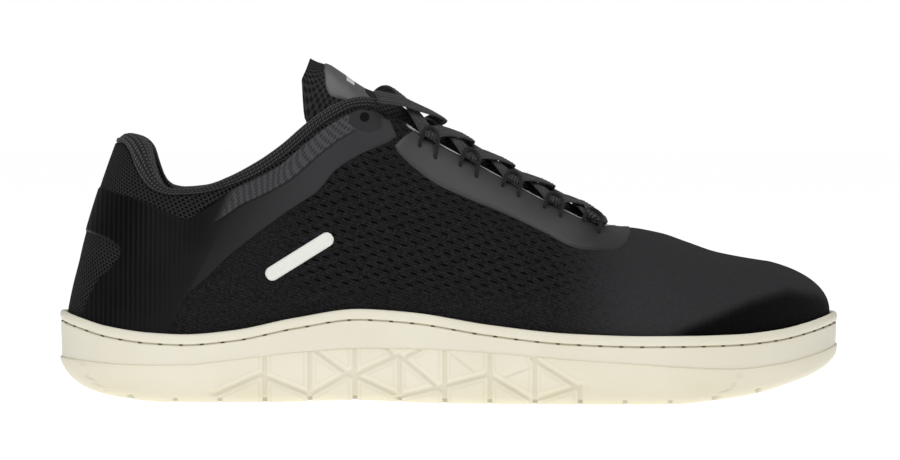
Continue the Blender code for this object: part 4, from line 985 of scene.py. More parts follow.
# %% Film material
def film_finish(name, dark, light, band):
    """Satin film: faint upright ribs, a painted sheen that makes it lighter where thick is 1, and
    a punched hole, painted near black as the shade inside it, where hole is 1. With band it has
    a perforated band and a seam line along its upper edge, and without it a pale cut edge with
    a thin dark line below."""
    made, tree, shader = start(name, Roughness=0.46, Specular_IOR_Level=0.09 if band else 0.4)
    along, across = cloth_axes(tree)
    spot = add(tree, "TexCoord", {})
    cloudy = add(tree, "TexNoise", {"Vector": spot.outputs[3], "Scale": 45.0})
    grain = add(tree, "TexNoise", {"Vector": spot.outputs[3], "Scale": 1400.0})
    tone = blended(tree, stepped(tree, cloudy, 0.35, 0.7), dark, light)
    # Painted sheen: thick lightens the film towards grey.
    thick = add(tree, "Attribute", {}, attribute_name="thick").outputs[2]
    tone = blended(tree, thick, tone, "38383a")
    height = add(tree, "Math", {0: grain, 1: 0.10}, operation="MULTIPLY")
    ribbed = add(tree, "Attribute", {}, attribute_name="ribbed").outputs[2]
    upright = add(tree, "SeparateXYZ", {"Vector": spot.outputs[3]})
    print_through = wave(tree, upright, 1.8 * MM)
    faint = add(tree, "Math", {0: print_through, 1: ribbed}, operation="MULTIPLY")
    height = add(tree, "Math", {0: faint, 1: 0.16, 2: height}, operation="MULTIPLY_ADD")
    rows = stepped(tree, faint, 0.2, 0.9)
    tone = blended(tree, rows, tone, "151516")
    if band:
        near = stepped(tree, across, BAND_WIDTH, BAND_WIDTH - 0.3 * MM)
        banded = add(tree, "Attribute", {}, attribute_name="banded").outputs[2]
        near = add(tree, "Math", {0: near, 1: banded}, operation="MULTIPLY")
        holes = stepped(tree, staggered(tree, along, across, 2.6 * MM, 1.15 * MM), 0.05, 0.6)
        holes = add(tree, "Math", {0: holes, 1: near}, operation="MULTIPLY")
        off = add(tree, "Math", {0: across, 1: BAND_WIDTH + 0.3 * MM}, operation="SUBTRACT")
        off = add(tree, "Math", {0: off}, operation="ABSOLUTE")
        seam = stepped(tree, off, 0.35 * MM, 0.1 * MM)
        seam = add(tree, "Math", {0: seam, 1: banded}, operation="MULTIPLY")
        pale = add(tree, "Math", {0: near, 1: 0.75}, operation="MULTIPLY")
        tone = blended(tree, pale, tone, "4c4c4e")
        low = add(tree, "Math", {0: holes, 1: seam}, operation="ADD", use_clamp=True)
        sunk = add(tree, "Math", {0: low, 1: 0.5}, operation="MULTIPLY")
        tone = blended(tree, sunk, tone, "141415")
        height = add(tree, "Math", {0: height, 1: low}, operation="SUBTRACT")
    else:
        cut = stepped(tree, across, 0.9 * MM, 0.6 * MM)
        tone = blended(tree, cut, tone, "8c8c8a")
        off = add(tree, "Math", {0: across, 1: 1.4 * MM}, operation="SUBTRACT")
        off = add(tree, "Math", {0: off}, operation="ABSOLUTE")
        tone = blended(tree, stepped(tree, off, 0.40 * MM, 0.15 * MM), tone, "0a0a0a")
    # hole paints the punched hole near black, as the shade inside it.
    hole = add(tree, "Attribute", {}, attribute_name="hole").outputs[2]
    tone = blended(tree, hole, tone, "020202")
    height = add(tree, "Math", {0: height, 1: hole}, operation="SUBTRACT")
    pressed(tree, shader, height, 0.25 * MM)
    rough = add(tree, "MapRange", {"Value": cloudy, "To Min": 0.38, "To Max": 0.55})
    tree.links.new(rough.outputs[0], shader.inputs["Roughness"])
    tree.links.new(tone.outputs[0], shader.inputs["Base Color"])
    return made


BAND_WIDTH = 6.6 * MM
heel_satin = film_finish("pressed_polyurethane_film", "060607", "0d0d0e", True)
stay_satin = film_finish("pressed_eyestay_film", "2b2b2d", "363638", False)
print("Perforated band, mm:", BAND_WIDTH / MM)

# %% The heel film's edges
# The film pressed over heel and quarter, seen from the side, as pairs of points on its
# upper and its lower edge, from the heel's back to the throat.
# Columns: upper along and height, lower along and height (shares of LENGTH and of
# INSTEP_HEIGHT). An along of zero is the heel's back, a height of zero is the rim.
HEEL_FILM = (
    (0.000, 0.700, 0.000, 0.552),
    (0.066, 0.692, 0.056, 0.541),
    (0.092, 0.676, 0.079, 0.510),
    (0.120, 0.650, 0.082, 0.479),
    (0.150, 0.617, 0.066, 0.430),
    (0.168, 0.602, 0.048, 0.382),
    (0.190, 0.640, 0.028, 0.000),
    (0.205, 0.664, 0.075, 0.000),
    (0.225, 0.700, 0.126, 0.000),
    (0.250, 0.730, 0.153, 0.312),
    (0.270, 0.757, 0.195, 0.416),
    (0.290, 0.790, 0.231, 0.504),
    (0.320, 0.858, 0.290, 0.619),
    (0.345, 0.908, 0.332, 0.692),
    (0.362, 0.934, 0.353, 0.756),
    (0.382, 0.953, 0.383, 0.810),
    (0.403, 0.950, 0.418, 0.850),
    (0.424, 0.925, 0.433, 0.872),
)
FILM_TOP = 0.45 * MM
FILM_SUNK = 0.35 * MM
FILM_EDGE = 0.9 * MM
TUCKED = -0.07


def two_sided(rows):
    """Both edges of a film that wraps the heel, as (signed share, climb) from the lateral
    end to the medial end. The share is negative on the lateral side. Where the edge is the
    rim, the film is tucked behind it."""
    found = []
    for x, z in rows:
        found.append([seen_at(side, x, z) for side in (LATERAL, MEDIAL)])
    found = np.array(found)
    found[rows[:, 1] == 0, :, 1] = TUCKED
    lateral = found[::-1, 0] * (-1, 1)
    return np.concatenate([lateral[:-1], found[:, 1]])


def film_strip(first, second, place, rows, columns):
    """A thin strip between two edges of parameters: the outer sheet's height falls to
    nothing over FILM_EDGE at every edge, and the inner sheet lies sunk in the knit.

    Returns the section loops, the distance along the first edge and across the strip.
    """
    first, second = through(first, columns), through(second, columns)
    blend = np.linspace(0, 1, rows)[:, None, None]
    params = first[None] * (1 - blend) + second[None] * blend
    flat = place(params, 0.0)
    steps = np.linalg.norm(np.diff(flat, axis=0), axis=-1)
    across = np.concatenate([np.zeros_like(steps[:1]), np.cumsum(steps, axis=0)])
    steps = np.linalg.norm(np.diff(flat[0], axis=0), axis=-1)
    along = np.concatenate([[0], np.cumsum(steps)])
    ends = np.minimum(along, along[-1] - along)
    rim = np.minimum(np.minimum(across, across[-1:] - across), ends[None])
    lift = FILM_TOP * np.sqrt(ramp(rim, -0.05 * FILM_EDGE, FILM_EDGE))
    sunk = crease_depth(flat)
    outer = place(params, lift - sunk)
    inner = place(params[::-1], -FILM_SUNK - sunk[::-1])
    near = np.min(np.linalg.norm(flat[:, :, None] - flat[0][None, None, ::4], axis=-1), axis=-1)
    grid = np.concatenate([outer, inner])
    cloth = np.stack([np.broadcast_to(along, across.shape), near], axis=-1)
    return grid, np.concatenate([cloth, cloth[::-1]]), flat


def round_heel(params, stand):
    """Points of the last from signed shares and climbs."""
    share, climb = np.abs(params[..., 0]), np.clip(params[..., 1], TUCKED, 1)
    stand = np.broadcast_to(stand, share.shape)
    medial = off_last(MEDIAL, share, climb, stand)
    lateral = off_last(LATERAL, share, climb, stand)
    return np.where((params[..., 0] > 0)[..., None], medial, lateral)


table = np.array(HEEL_FILM)
top_edge, low_edge = two_sided(table[:, :2]), two_sided(table[:, 2:])
grid, cloth, flat = film_strip(top_edge, low_edge, round_heel, 46, 460)
x = np.concatenate([flat, flat[::-1]])[..., 0] / LENGTH
ahead = np.concatenate([flat, flat[::-1]])[:1, :, 0] / LENGTH
# thick carries a painted sheen, which grows towards the front of the quarter.
marks = {
    "ribbed": 1 - ramp(x, 0.14, 0.22),
    "thick": 0.35 * ramp(ahead, 0.19, 0.27) + 0.6 * ramp(ahead, 0.25, 0.36) + 0 * x,
    "banded": ramp(ahead, 0.215, 0.235) * (1 - ramp(ahead, 0.375, 0.385)) + 0 * x,
}
film = ended(grid)
marks = {k: ended_cloth(v) for k, v in marks.items()}
solid("heel_film_satin", film, ["heel_film"], heel_satin, False,
      ended_cloth(cloth), marks)

# %% [markdown]
# ## The eyestay
# The film round the throat carries the lace loops, so it is thicker and lighter in tone. It
# runs down one side of the throat, round its front and up the other side. Its places are a
# share along the shoe and a signed distance below the ridge, so the strip crosses the ridge
# without a seam.

# %% Eyestay strip
# The eyestay film, as pairs of points on the throat's edge and on its outer edge, from
# the top of the throat to its front.
# Columns: inner along, outer along and height (shares of LENGTH and INSTEP_HEIGHT). A
# height of zero is the ridge.
EYESTAY = (
    (0.449, 0.430, 0.842),
    (0.453, 0.434, 0.822),
    (0.470, 0.452, 0.776),
    (0.500, 0.484, 0.716),
    (0.540, 0.528, 0.664),
    (0.585, 0.573, 0.616),
    (0.625, 0.618, 0.560),
    (0.660, 0.655, 0.514),
    (0.685, 0.690, 0.506),
    (0.698, 0.722, 0.515),
    (0.7085, 0.732, 0.000),
)
EYESTAY_MARGIN = 1.4 * MM


def eyestay_edges():
    """Inner and outer edge as (share, signed climb below the ridge), lateral to medial."""
    edges = {}
    for side in (LATERAL, MEDIAL):
        rows = []
        for along, x, z in EYESTAY:
            near = float(share_at(along))
            climb = float(climb_to_edge(side, near)[0])
            step = np.linalg.norm(last(side, near, climb) - last(side, near, climb - 0.02)) / 0.02
            inset = EYESTAY_MARGIN / step if along < THROAT_FRONT - 0.01 else 0
            far = (float(share_at(x)), 1.0) if z == 0 else seen_at(side, x, z)
            rows.append([(near, side * (1 - climb + inset)), (far[0], side * (1 - far[1]))])
        edges[side] = np.array(rows)
    whole = np.concatenate([edges[LATERAL], edges[MEDIAL][::-1][1:]])
    return whole[:, 0], whole[:, 1]


def over_ridge(params, stand):
    """Points of the last from shares and signed climbs below the ridge."""
    share, climb = params[..., 0], 1 - np.abs(params[..., 1])
    stand = np.broadcast_to(stand, share.shape)
    medial = off_last(MEDIAL, share, climb, stand)
    lateral = off_last(LATERAL, share, climb, stand)
    return np.where((params[..., 1] > 0)[..., None], medial, lateral)


inner_edge, outer_edge = eyestay_edges()
grid, cloth, flat = film_strip(inner_edge, outer_edge, over_ridge, 22, 420)
marks = {"ribbed": np.zeros(grid.shape[:2]), "thick": np.zeros(grid.shape[:2])}
solid("eyestay_satin", ended(grid), ["eyestay"], stay_satin, False,
      ended_cloth(cloth), {k: ended_cloth(v) for k, v in marks.items()})

# %% [markdown]
# ## The eyelet tabs
# The topmost eyelet on each side sits in its own small tab of film, apart from the lace row.
# The tab is one more strip between two edges, and its punched hole is a mark on its points,
# painted near black as the shade inside it. The tab also carries the film's painted sheen.

# %% Eyelet tabs
# Columns: upper edge along and height, lower edge along and height (shares of LENGTH and
# INSTEP_HEIGHT).
TAB = (
    (0.3700, 0.941, 0.3685, 0.916),
    (0.3790, 0.955, 0.3800, 0.890),
    (0.3900, 0.961, 0.3970, 0.876),
    (0.4020, 0.957, 0.4080, 0.884),
    (0.4150, 0.944, 0.4150, 0.899),
)
EYELET = (0.3915, 0.935)
EYELET_RADIUS = 1.7 * MM

for side, word in ((LATERAL, "lateral"), (MEDIAL, "medial")):
    edges = []
    for column in (0, 2):
        found = [seen_at(side, row[column], row[column + 1]) for row in TAB]
        edges.append(np.array(found) * (side, 1))
    grid, cloth, flat = film_strip(edges[0], edges[1], round_heel, 40, 60)
    both = np.concatenate([flat, flat[::-1]])
    off = np.hypot(both[..., 0] - EYELET[0] * LENGTH, both[..., 2] - EYELET[1] * INSTEP_HEIGHT)
    # The punched hole is painted near black, as the shade inside it.
    hole = 1 - ramp(off, EYELET_RADIUS - 0.2 * MM, EYELET_RADIUS + 0.2 * MM)
    # thick lays the film's painted sheen over the whole tab.
    marks = {"ribbed": np.zeros(off.shape), "thick": np.full(off.shape, 0.7), "hole": hole}
    solid(f"eyelet_tab_{word}", ended(grid), [], heel_satin, False,
          ended_cloth(cloth), {k: ended_cloth(v) for k, v in marks.items()})

# %% [markdown]
# ## The plain bar on the quarter
# A plain pale bar with round ends sits on the lateral quarter. It is screen printed, so it
# is thin, matt and a little uneven.

# %% Printed bar
MARK_WIDTH = 5.2 * MM
# The plain bar on the lateral quarter, seen from the side.
# Columns: along (share of LENGTH), height (share of INSTEP_HEIGHT).
MARK_ENDS = ((0.268, 0.412), (0.352, 0.548))


def print_finish():
    """Screen-printed silicone ink: off-white, with fine flecks."""
    made, tree, shader = start("screen_printed_silicone", Roughness=0.5)
    spot = add(tree, "TexCoord", {})
    fleck = add(tree, "TexNoise", {"Vector": spot.outputs[3], "Scale": 700.0})
    tone = blended(tree, fleck, "e4e5de", "eff0ea")
    tree.links.new(tone.outputs[0], shader.inputs["Base Color"])
    pressed(tree, shader, fleck, 0.08 * MM)
    return made


def bar_edges(count):
    """The bar's two long edges as signed shares and climbs, narrowing along half circles
    at its ends."""
    (x0, z0), (x1, z1) = MARK_ENDS
    begin = np.array([x0 * LENGTH, z0 * INSTEP_HEIGHT])
    run = np.array([x1 * LENGTH, z1 * INSTEP_HEIGHT]) - begin
    size, half = np.linalg.norm(run), MARK_WIDTH / 2
    over = np.array([-run[1], run[0]]) / size
    turn = np.linspace(0.12, np.pi - 0.12, count)
    place = size * (1 - np.cos(turn)) / 2
    near = np.minimum(np.minimum(place, size - place), half)
    wide = np.sqrt(half**2 - (half - near) ** 2)
    edges = []
    for hand in (1, -1):
        spots = begin + run * (place / size)[:, None] + over * (hand * wide)[:, None]
        found = [seen_at(LATERAL, x / LENGTH, z / INSTEP_HEIGHT) for x, z in spots]
        edges.append(np.array(found) * (-1, 1))
    return edges


upper_line, lower_line = bar_edges(22)
grid, cloth, flat = film_strip(upper_line, lower_line, round_heel, 12, 90)
solid("plain_printed_bar", ended(grid), ["side_mark"], print_finish())

# %% [markdown]
# ## The collar lining
# A padded roll of soft knit closes the collar. On the real shoe it is foam wrapped in
# lining and stitched below the edge. Its section is a smooth loop through fifteen places
# measured from the collar's edge, carried along the collar from throat to throat.

# %% Lining material
def lining_finish():
    """Circular-knit lining over foam: fine ribs across the roll, with a soft nap."""
    made, tree, shader = start("circular_knit_lining", Roughness=0.9, Specular_IOR_Level=0.2)
    shader.inputs["Sheen Weight"].default_value = 0.15
    along, across = cloth_axes(tree)
    slant = add(tree, "Math", {0: across, 1: 0.8, 2: along}, operation="MULTIPLY_ADD")
    rows = stepped(tree, wave(tree, slant, 1.5 * MM), -1.0, 1.0)
    stitches = stepped(tree, wave(tree, across, 1.3 * MM), -1.0, 1.0)
    loops = add(tree, "Math", {0: rows, 1: stitches}, operation="MULTIPLY")
    spot = add(tree, "TexCoord", {})
    nap = add(tree, "TexNoise", {"Vector": spot.outputs[3], "Scale": 1300.0})
    height = add(tree, "Math", {0: nap, 1: 0.4, 2: loops}, operation="MULTIPLY_ADD")
    pressed(tree, shader, height, 0.3 * MM)
    tone = blended(tree, stepped(tree, height, 0.15, 1.2), "121213", "48484a")
    tree.links.new(tone.outputs[0], shader.inputs["Base Color"])
    return made


lining_knit = lining_finish()

# %% Lining roll
# The rolled top of the padded lining, seen from the side.
# Columns as for TOPLINE.
ROLL_LINE = (
    (0.000, 0.866),
    (0.076, 0.870),
    (0.088, 0.886),
    (0.100, 0.880),
    (0.108, 0.862),
    (0.113, 0.838),
    (0.119, 0.795),
    (0.125, 0.757),
    (0.133, 0.727),
    (0.143, 0.709),
    (0.156, 0.703),
    (0.181, 0.708),
    (0.217, 0.741),
    (0.257, 0.797),
    (0.286, 0.850),
    (0.318, 0.922),
    (0.345, 0.972),
    (0.367, 0.998),
    (0.387, 1.008),
    (0.405, 1.000),
    (0.420, 0.985),
)
LINING_PAD = 5.0 * MM
LINING_DEPTH = 24 * MM
LINING_TAPER = 0.300
LINING_END = 0.398
# The roll's section. Columns: share of the roll's height, clearances above the collar's
# edge, stand beside the wall and inside the pad (shares), share of the lining's depth.
ROLL = (
    (0.00, -0.8, -0.40, 0.0, 0.00),
    (0.18, 0.0, 0.28, 0.0, 0.00),
    (0.45, 0.0, 0.42, 0.0, 0.00),
    (0.78, 0.0, 0.30, 0.0, 0.00),
    (0.97, 0.0, -0.35, 0.0, 0.00),
    (1.00, 0.0, -1.00, 0.45, 0.00),
    (0.86, 0.0, -1.00, 0.88, 0.00),
    (0.45, 0.0, -1.00, 1.00, 0.00),
    (0.00, 0.0, -1.00, 1.00, 0.15),
    (0.00, 0.0, -1.00, 0.85, 0.50),
    (0.00, 0.0, -1.00, 0.45, 0.82),
    (0.00, 0.0, -1.00, 0.10, 1.00),
    (0.00, 0.0, -1.00, 0.00, 0.90),
    (0.00, 0.0, -1.00, 0.00, 0.45),
    (0.00, 0.0, -1.00, 0.00, 0.08),
)


def roll_points(side, share):
    """The section's places for each rib, as rows of points."""
    along = ridge_along(share) / LENGTH
    taper = np.clip((along - LINING_TAPER) / (LINING_END - LINING_TAPER), 0, 1)
    wall = UPPER_WALL + 1.5 * CLEARANCE
    pad = LINING_PAD * (1 - 0.7 * taper)
    seam = climb_to_line(side, share, TOPLINE)
    reach = last(side, share, np.clip(seam + 0.01, 0, 1)) - last(side, share, seam - 0.01)
    pace = np.linalg.norm(reach, axis=-1) / 0.02
    tall = np.maximum((climb_to_line(side, share, ROLL_LINE) - seam) * pace, 1.5 * MM)
    lift, gaps, beside, inside, sink = np.array(ROLL).T[:, :, None]
    beside = np.where(beside > 0, beside * ramp(share, 0.01, 0.07), beside)
    rise = lift * tall + gaps * CLEARANCE - sink * LINING_DEPTH
    return off_last(side, share[None], seam + rise / pace, beside * wall - inside * pad)


share = np.linspace(0, 1, 900)
share = share[ridge_along(share) / LENGTH < LINING_END]
halves = [roll_points(side, share) for side in (LATERAL, MEDIAL)]
loops = through(np.concatenate([halves[0][:, ::-1], halves[1][:, 1:]], axis=1), 60, closed=True)
steps = np.linalg.norm(np.diff(loops, axis=1), axis=-1)[10]
along = np.concatenate([[0], np.cumsum(steps)])
steps = np.linalg.norm(np.diff(loops, axis=0), axis=-1).mean(axis=1)
across = np.concatenate([[0], np.cumsum(steps)])
cloth = np.stack(np.broadcast_arrays(along[None], across[:, None]), axis=-1)
roll = solid("collar_lining_roll", ended(loops), ["collar_lining"],
             lining_knit, False, ended_cloth(cloth))

# %% [markdown]
# ## The tongue
# The tongue is a padded tab of coarse mesh under the lace, with a smooth film label on its
# top. It is the same patch of the last as its solid, sunk below the upper, but its section
# swells in the middle and thins towards its edges, as foam in a sewn bag does.

# %% Tongue mesh
# The tongue, from its top to its root under the vamp.
# Columns: along (share of LENGTH), lateral and medial half width (shares of BALL_WIDTH),
# depth below the last (share of LINING_PAD), thickness (share of TONGUE_THICKNESS).
TONGUE = (
    (0.340, 0.200, 0.175, 1.750, 0.300),
    (0.348, 0.235, 0.200, 1.700, 0.700),
    (0.360, 0.240, 0.205, 1.600, 1.000),
    (0.374, 0.235, 0.195, 1.420, 1.000),
    (0.387, 0.225, 0.180, 1.220, 1.000),
    (0.400, 0.212, 0.162, 1.000, 1.000),
    (0.415, 0.208, 0.155, 0.780, 1.000),
    (0.435, 0.215, 0.150, 0.640, 1.000),
    (0.480, 0.228, 0.152, 0.600, 0.900),
    (0.560, 0.252, 0.158, 0.600, 0.800),
    (0.620, 0.278, 0.174, 0.600, 0.700),
    (0.660, 0.275, 0.167, 0.600, 0.600),
    (0.700, 0.205, 0.130, 0.600, 0.500),
    (0.735, 0.140, 0.100, 0.600, 0.300),
)
TONGUE_THICKNESS = 5.0 * MM
TONGUE_BEND = 0.388
TONGUE_SWEEP = 0.030
TONGUE_LEVEL = 0.430


def under_last(along, spread, depth):
    """Points at a depth below the last across the tongue's width.

    along is a column, spread runs from -1 at the lateral edge to 1 at the medial one. The
    direction of depth turns evenly from one edge to the other and is fixed above
    TONGUE_BEND, so it never folds. Above TONGUE_LEVEL the edges sweep back round the
    ankle.
    """
    lateral, medial = np.moveaxis(monotone(TONGUE, along)[..., :2], -1, 0) * BALL_WIDTH
    across = np.where(spread < 0, lateral, medial) * spread
    above = np.clip((TONGUE_LEVEL - along) / (TONGUE_LEVEL - TONGUE[0][0]), 0, 1)
    surface = crown(along - TONGUE_SWEEP * above * spread**2, across, 0.0)
    share = share_at(np.maximum(along[:, 0], TONGUE_BEND))
    edges = []
    for side, reach in ((LATERAL, lateral[:, 0]), (MEDIAL, medial[:, 0])):
        edges.append(facing(side, share, climb_to_reach(side, share, reach)))
    part = (spread[..., None] + 1) / 2
    out = (1 - part) * edges[0][:, None] + part * edges[1][:, None]
    out = out / np.linalg.norm(out, axis=-1, keepdims=True)
    return surface - out * depth[..., None]


def tongue_finish():
    """Spacer mesh over foam: rows of open cells about 1 mm apart, darker round each cell and
    near black inside it, as painted shade.
    """
    made, tree, shader = start("polyester_spacer_mesh", Roughness=0.88, Specular_IOR_Level=0.25)
    along, across = cloth_axes(tree)
    cells = staggered(tree, along, across, 2.2 * MM, 1.05 * MM)
    holes = stepped(tree, cells, 0.05, 0.55)
    spot = add(tree, "TexCoord", {})
    yarn = add(tree, "TexNoise", {"Vector": spot.outputs[3], "Scale": 1100.0})
    rim = stepped(tree, cells, -0.6, -0.1)
    tone = blended(tree, yarn, "19191a", "3a3a3b")
    # Painted shade: darker round each cell, and near black inside it.
    tone = blended(tree, add(tree, "Math", {0: rim, 1: 0.5}, operation="MULTIPLY"), tone, "1d1d1e")
    tone = blended(tree, holes, tone, "050505")
    height = add(tree, "Math", {0: yarn, 1: holes}, operation="SUBTRACT")
    pressed(tree, shader, height, 0.45 * MM)
    tree.links.new(tone.outputs[0], shader.inputs["Base Color"])
    return made


# How far the padding rises between the throat's edges, up to the lace.
TONGUE_CREST = 2.1 * MM
along = np.linspace(TONGUE[0][0], TONGUE[-1][0], 170)
depth, thick = np.moveaxis(monotone(TONGUE, along)[..., 2:], -1, 0)
spread = np.sin(np.linspace(-np.pi / 2, np.pi / 2, 41))[None]
# The tongue narrows in its top 4 mm.
slim = 0.62 + 0.38 * np.sqrt(ramp(along, 0.337, 0.352))
under_lace = ramp(along, 0.385, 0.43) * (1 - ramp(along, 0.67, 0.70))
crest = under_lace[:, None] * (1 - ramp(np.abs(spread), 0.30, 0.72))
depth = depth[:, None] * LINING_PAD - TONGUE_CREST * crest
soft = np.sqrt(ramp(along, TONGUE[0][0] - 0.002, 0.362))[:, None]
swell = (0.12 + 0.88 * np.sqrt(1 - spread**4)) * TONGUE_THICKNESS * thick[:, None] * soft
middle = depth + 0.5 * thick[:, None] * TONGUE_THICKNESS
outer = under_last(along[:, None], spread * slim[:, None], middle - 0.5 * swell)
inner = under_last(along[:, None], spread * slim[:, None], middle + 0.5 * swell)
grid = np.concatenate([outer, inner[:, ::-1]], axis=1).swapaxes(0, 1)
step = np.linalg.norm(np.diff(outer[:, 20], axis=0), axis=1)
down = np.concatenate([[0], np.cumsum(step)])
width = (monotone(TONGUE, along)[..., :2].sum(axis=-1) * BALL_WIDTH / 2)[:, None] * spread
cloth = np.stack([np.broadcast_to(down[:, None], width.shape), width], axis=-1)
cloth = np.concatenate([cloth, cloth[:, ::-1]], axis=1).swapaxes(0, 1)
tongue_mesh = tongue_finish()
tongue = solid("padded_tongue", ended(grid), ["tongue"], tongue_mesh,
               False, ended_cloth(cloth))

# %% [markdown]
# ## The tongue's label
# A smooth grey film patch with round corners is pressed onto the tongue's top. It carries
# only a plain pale bar.

# %% Label
LABEL_TOP, LABEL_FRONT, LABEL_HALF = 0.354, 0.412, 0.80


def label_finish():
    """Matt polyurethane film: even grey, with a fine grain and one plain bar."""
    made, tree, shader = start("matt_label_film", Roughness=0.42)
    along, across = cloth_axes(tree)
    spot = add(tree, "TexCoord", {})
    grain = add(tree, "TexNoise", {"Vector": spot.outputs[3], "Scale": 1500.0})
    tone = blended(tree, grain, "4e4e50", "5c5c5e")
    far = add(tree, "Math", {0: along, 1: -0.5}, operation="ADD")
    far = add(tree, "Math", {0: far}, operation="ABSOLUTE")
    aside = add(tree, "Math", {0: across}, operation="ABSOLUTE")
    inside = add(tree, "Math", {0: stepped(tree, far, 0.085, 0.07),
                                1: stepped(tree, aside, 0.50, 0.48)}, operation="MULTIPLY")
    tone = blended(tree, inside, tone, "d9d9d4")
    tree.links.new(tone.outputs[0], shader.inputs["Base Color"])
    pressed(tree, shader, grain, 0.05 * MM)
    return made


t = np.linspace(0, 1, 36)[:, None]
s = np.linspace(-1, 1, 41)[None]
corner = (1 - np.abs(2 * t - 1) ** 5) ** 0.35
at = LABEL_TOP + t * (LABEL_FRONT - LABEL_TOP)
spread = s * LABEL_HALF * np.maximum(corner, 0.55)
depth = monotone(TONGUE, at)[..., 2] * LINING_PAD + 0 * spread
thick = monotone(TONGUE, at)[..., 3] * TONGUE_THICKNESS
sag = 0.5 * thick * (1 - (0.12 + 0.88 * np.sqrt(1 - spread**4)))
edge = np.minimum(np.minimum(1 - np.abs(s), 0.25) / 0.25, np.minimum(t, 1 - t) * 8)
lift = 0.5 * MM * np.clip(edge, 0, 1) ** 0.5
over = under_last(at + 0 * spread, spread, depth + sag - lift)
under = under_last(at + 0 * spread, spread, depth + sag + 0.5 * MM)
grid = np.concatenate([over, under[:, ::-1]], axis=1).swapaxes(0, 1)
cloth = np.stack(np.broadcast_arrays(t, s), axis=-1)
cloth = np.concatenate([cloth, cloth[:, ::-1]], axis=1).swapaxes(0, 1)
solid("tongue_film_label", ended(grid), ["tongue_label"], label_finish(), False,
      ended_cloth(cloth))

# %% [markdown]
# ## The lace
# One flat lace, about 6 mm wide, zigzags through loops of cord on both sides of the throat,
# with a straight bar at the bottom. Strands that leave the lateral loops towards the toe lie
# on top. The lace's course is a line of places over the instep: straight between the loops,
# turned back on itself in each. Its width always lies along the shoe, square to the course.

# %% Lace material
def braid(name, dark, light, pitch):
    """Braided polyester: slanting strands that cross, painted lighter where the yarn is raised
    and darker where it is low, and near black in the lace's grooves, as painted light and shade.
    """
    made, tree, shader = start(name, Roughness=0.8, Specular_IOR_Level=0.3)
    shader.inputs["Sheen Weight"].default_value = 0.1
    along, across = cloth_axes(tree)
    weave = staggered(tree, along, across, 2 * pitch, pitch)
    strands = stepped(tree, weave, -0.7, 0.7)
    spot = add(tree, "TexCoord", {})
    fluff = add(tree, "TexNoise", {"Vector": spot.outputs[3], "Scale": 1600.0})
    height = add(tree, "Math", {0: fluff, 1: 0.5, 2: strands}, operation="MULTIPLY_ADD")
    pressed(tree, shader, height, 0.18 * MM)
    groove = add(tree, "Attribute", {}, attribute_name="groove").outputs[2]
    # Painted light and shade: raised yarn lighter, low yarn darker, the lace's grooves near black.
    tone = blended(tree, stepped(tree, height, 0.2, 1.4), dark, light)
    tone = blended(tree, groove, tone, "020202")
    tree.links.new(tone.outputs[0], shader.inputs["Base Color"])
    return made


lace_braid = braid("braided_flat_lace", "1b1b1c", "565658", 0.55 * MM)
cord_braid = braid("braided_loop_cord", "060607", "161617", 0.5 * MM)

# %% Course of the lace
LOOP_LENGTH = 7.5 * MM
LOOP_WIDTH = 6.6 * MM
LACE_SEAT = 0.20
# The lace loops along each side of the throat, from the top one to the lowest.
# Columns: along (share of LENGTH).
LOOP_PLACES = (0.466, 0.517, 0.570, 0.622, 0.672)
EYELET_ALONG = 0.408
EYELET_REACH = 0.182
BAR_ALONG = 0.676
LACE_WIDTH = 6.5 * MM
LACE_THICKNESS = 1.15 * MM
LOW, HIGH = 1.25 * MM, 2.75 * MM
DIP = 1.05 * MM
# A strand that leaves a lateral loop first runs towards the toe: the most it bows that way,
# for the top strand and for the others (shares of LENGTH).
TOP_BOW, BOW = 0.045, 0.022
TURN = 1.1 * MM
STRAND_POINTS, TURN_POINTS = 25, 3


def seat(side, k):
    """Where the lace turns at the k-th loop of a side, or leaves its top eyelet at 0."""
    if k == 0:
        return EYELET_ALONG - 0.012, side * EYELET_REACH * BALL_WIDTH
    along = LOOP_PLACES[k - 1]
    return along, side * float(throat_reach(side, along) + LACE_SEAT * LOOP_LENGTH)


def lace_stops():
    """The lace's turns in order: (side, loop, is this next strand on top)."""
    first = [(LATERAL if k % 2 == 0 else MEDIAL, k, k % 2 == 0) for k in range(5)]
    bar = [(MEDIAL, 5, False)]
    back = [(LATERAL if k % 2 else MEDIAL, k, k % 2 == 0) for k in range(5, 0, -1)]
    return first + bar + back + [(MEDIAL, 0, True)]


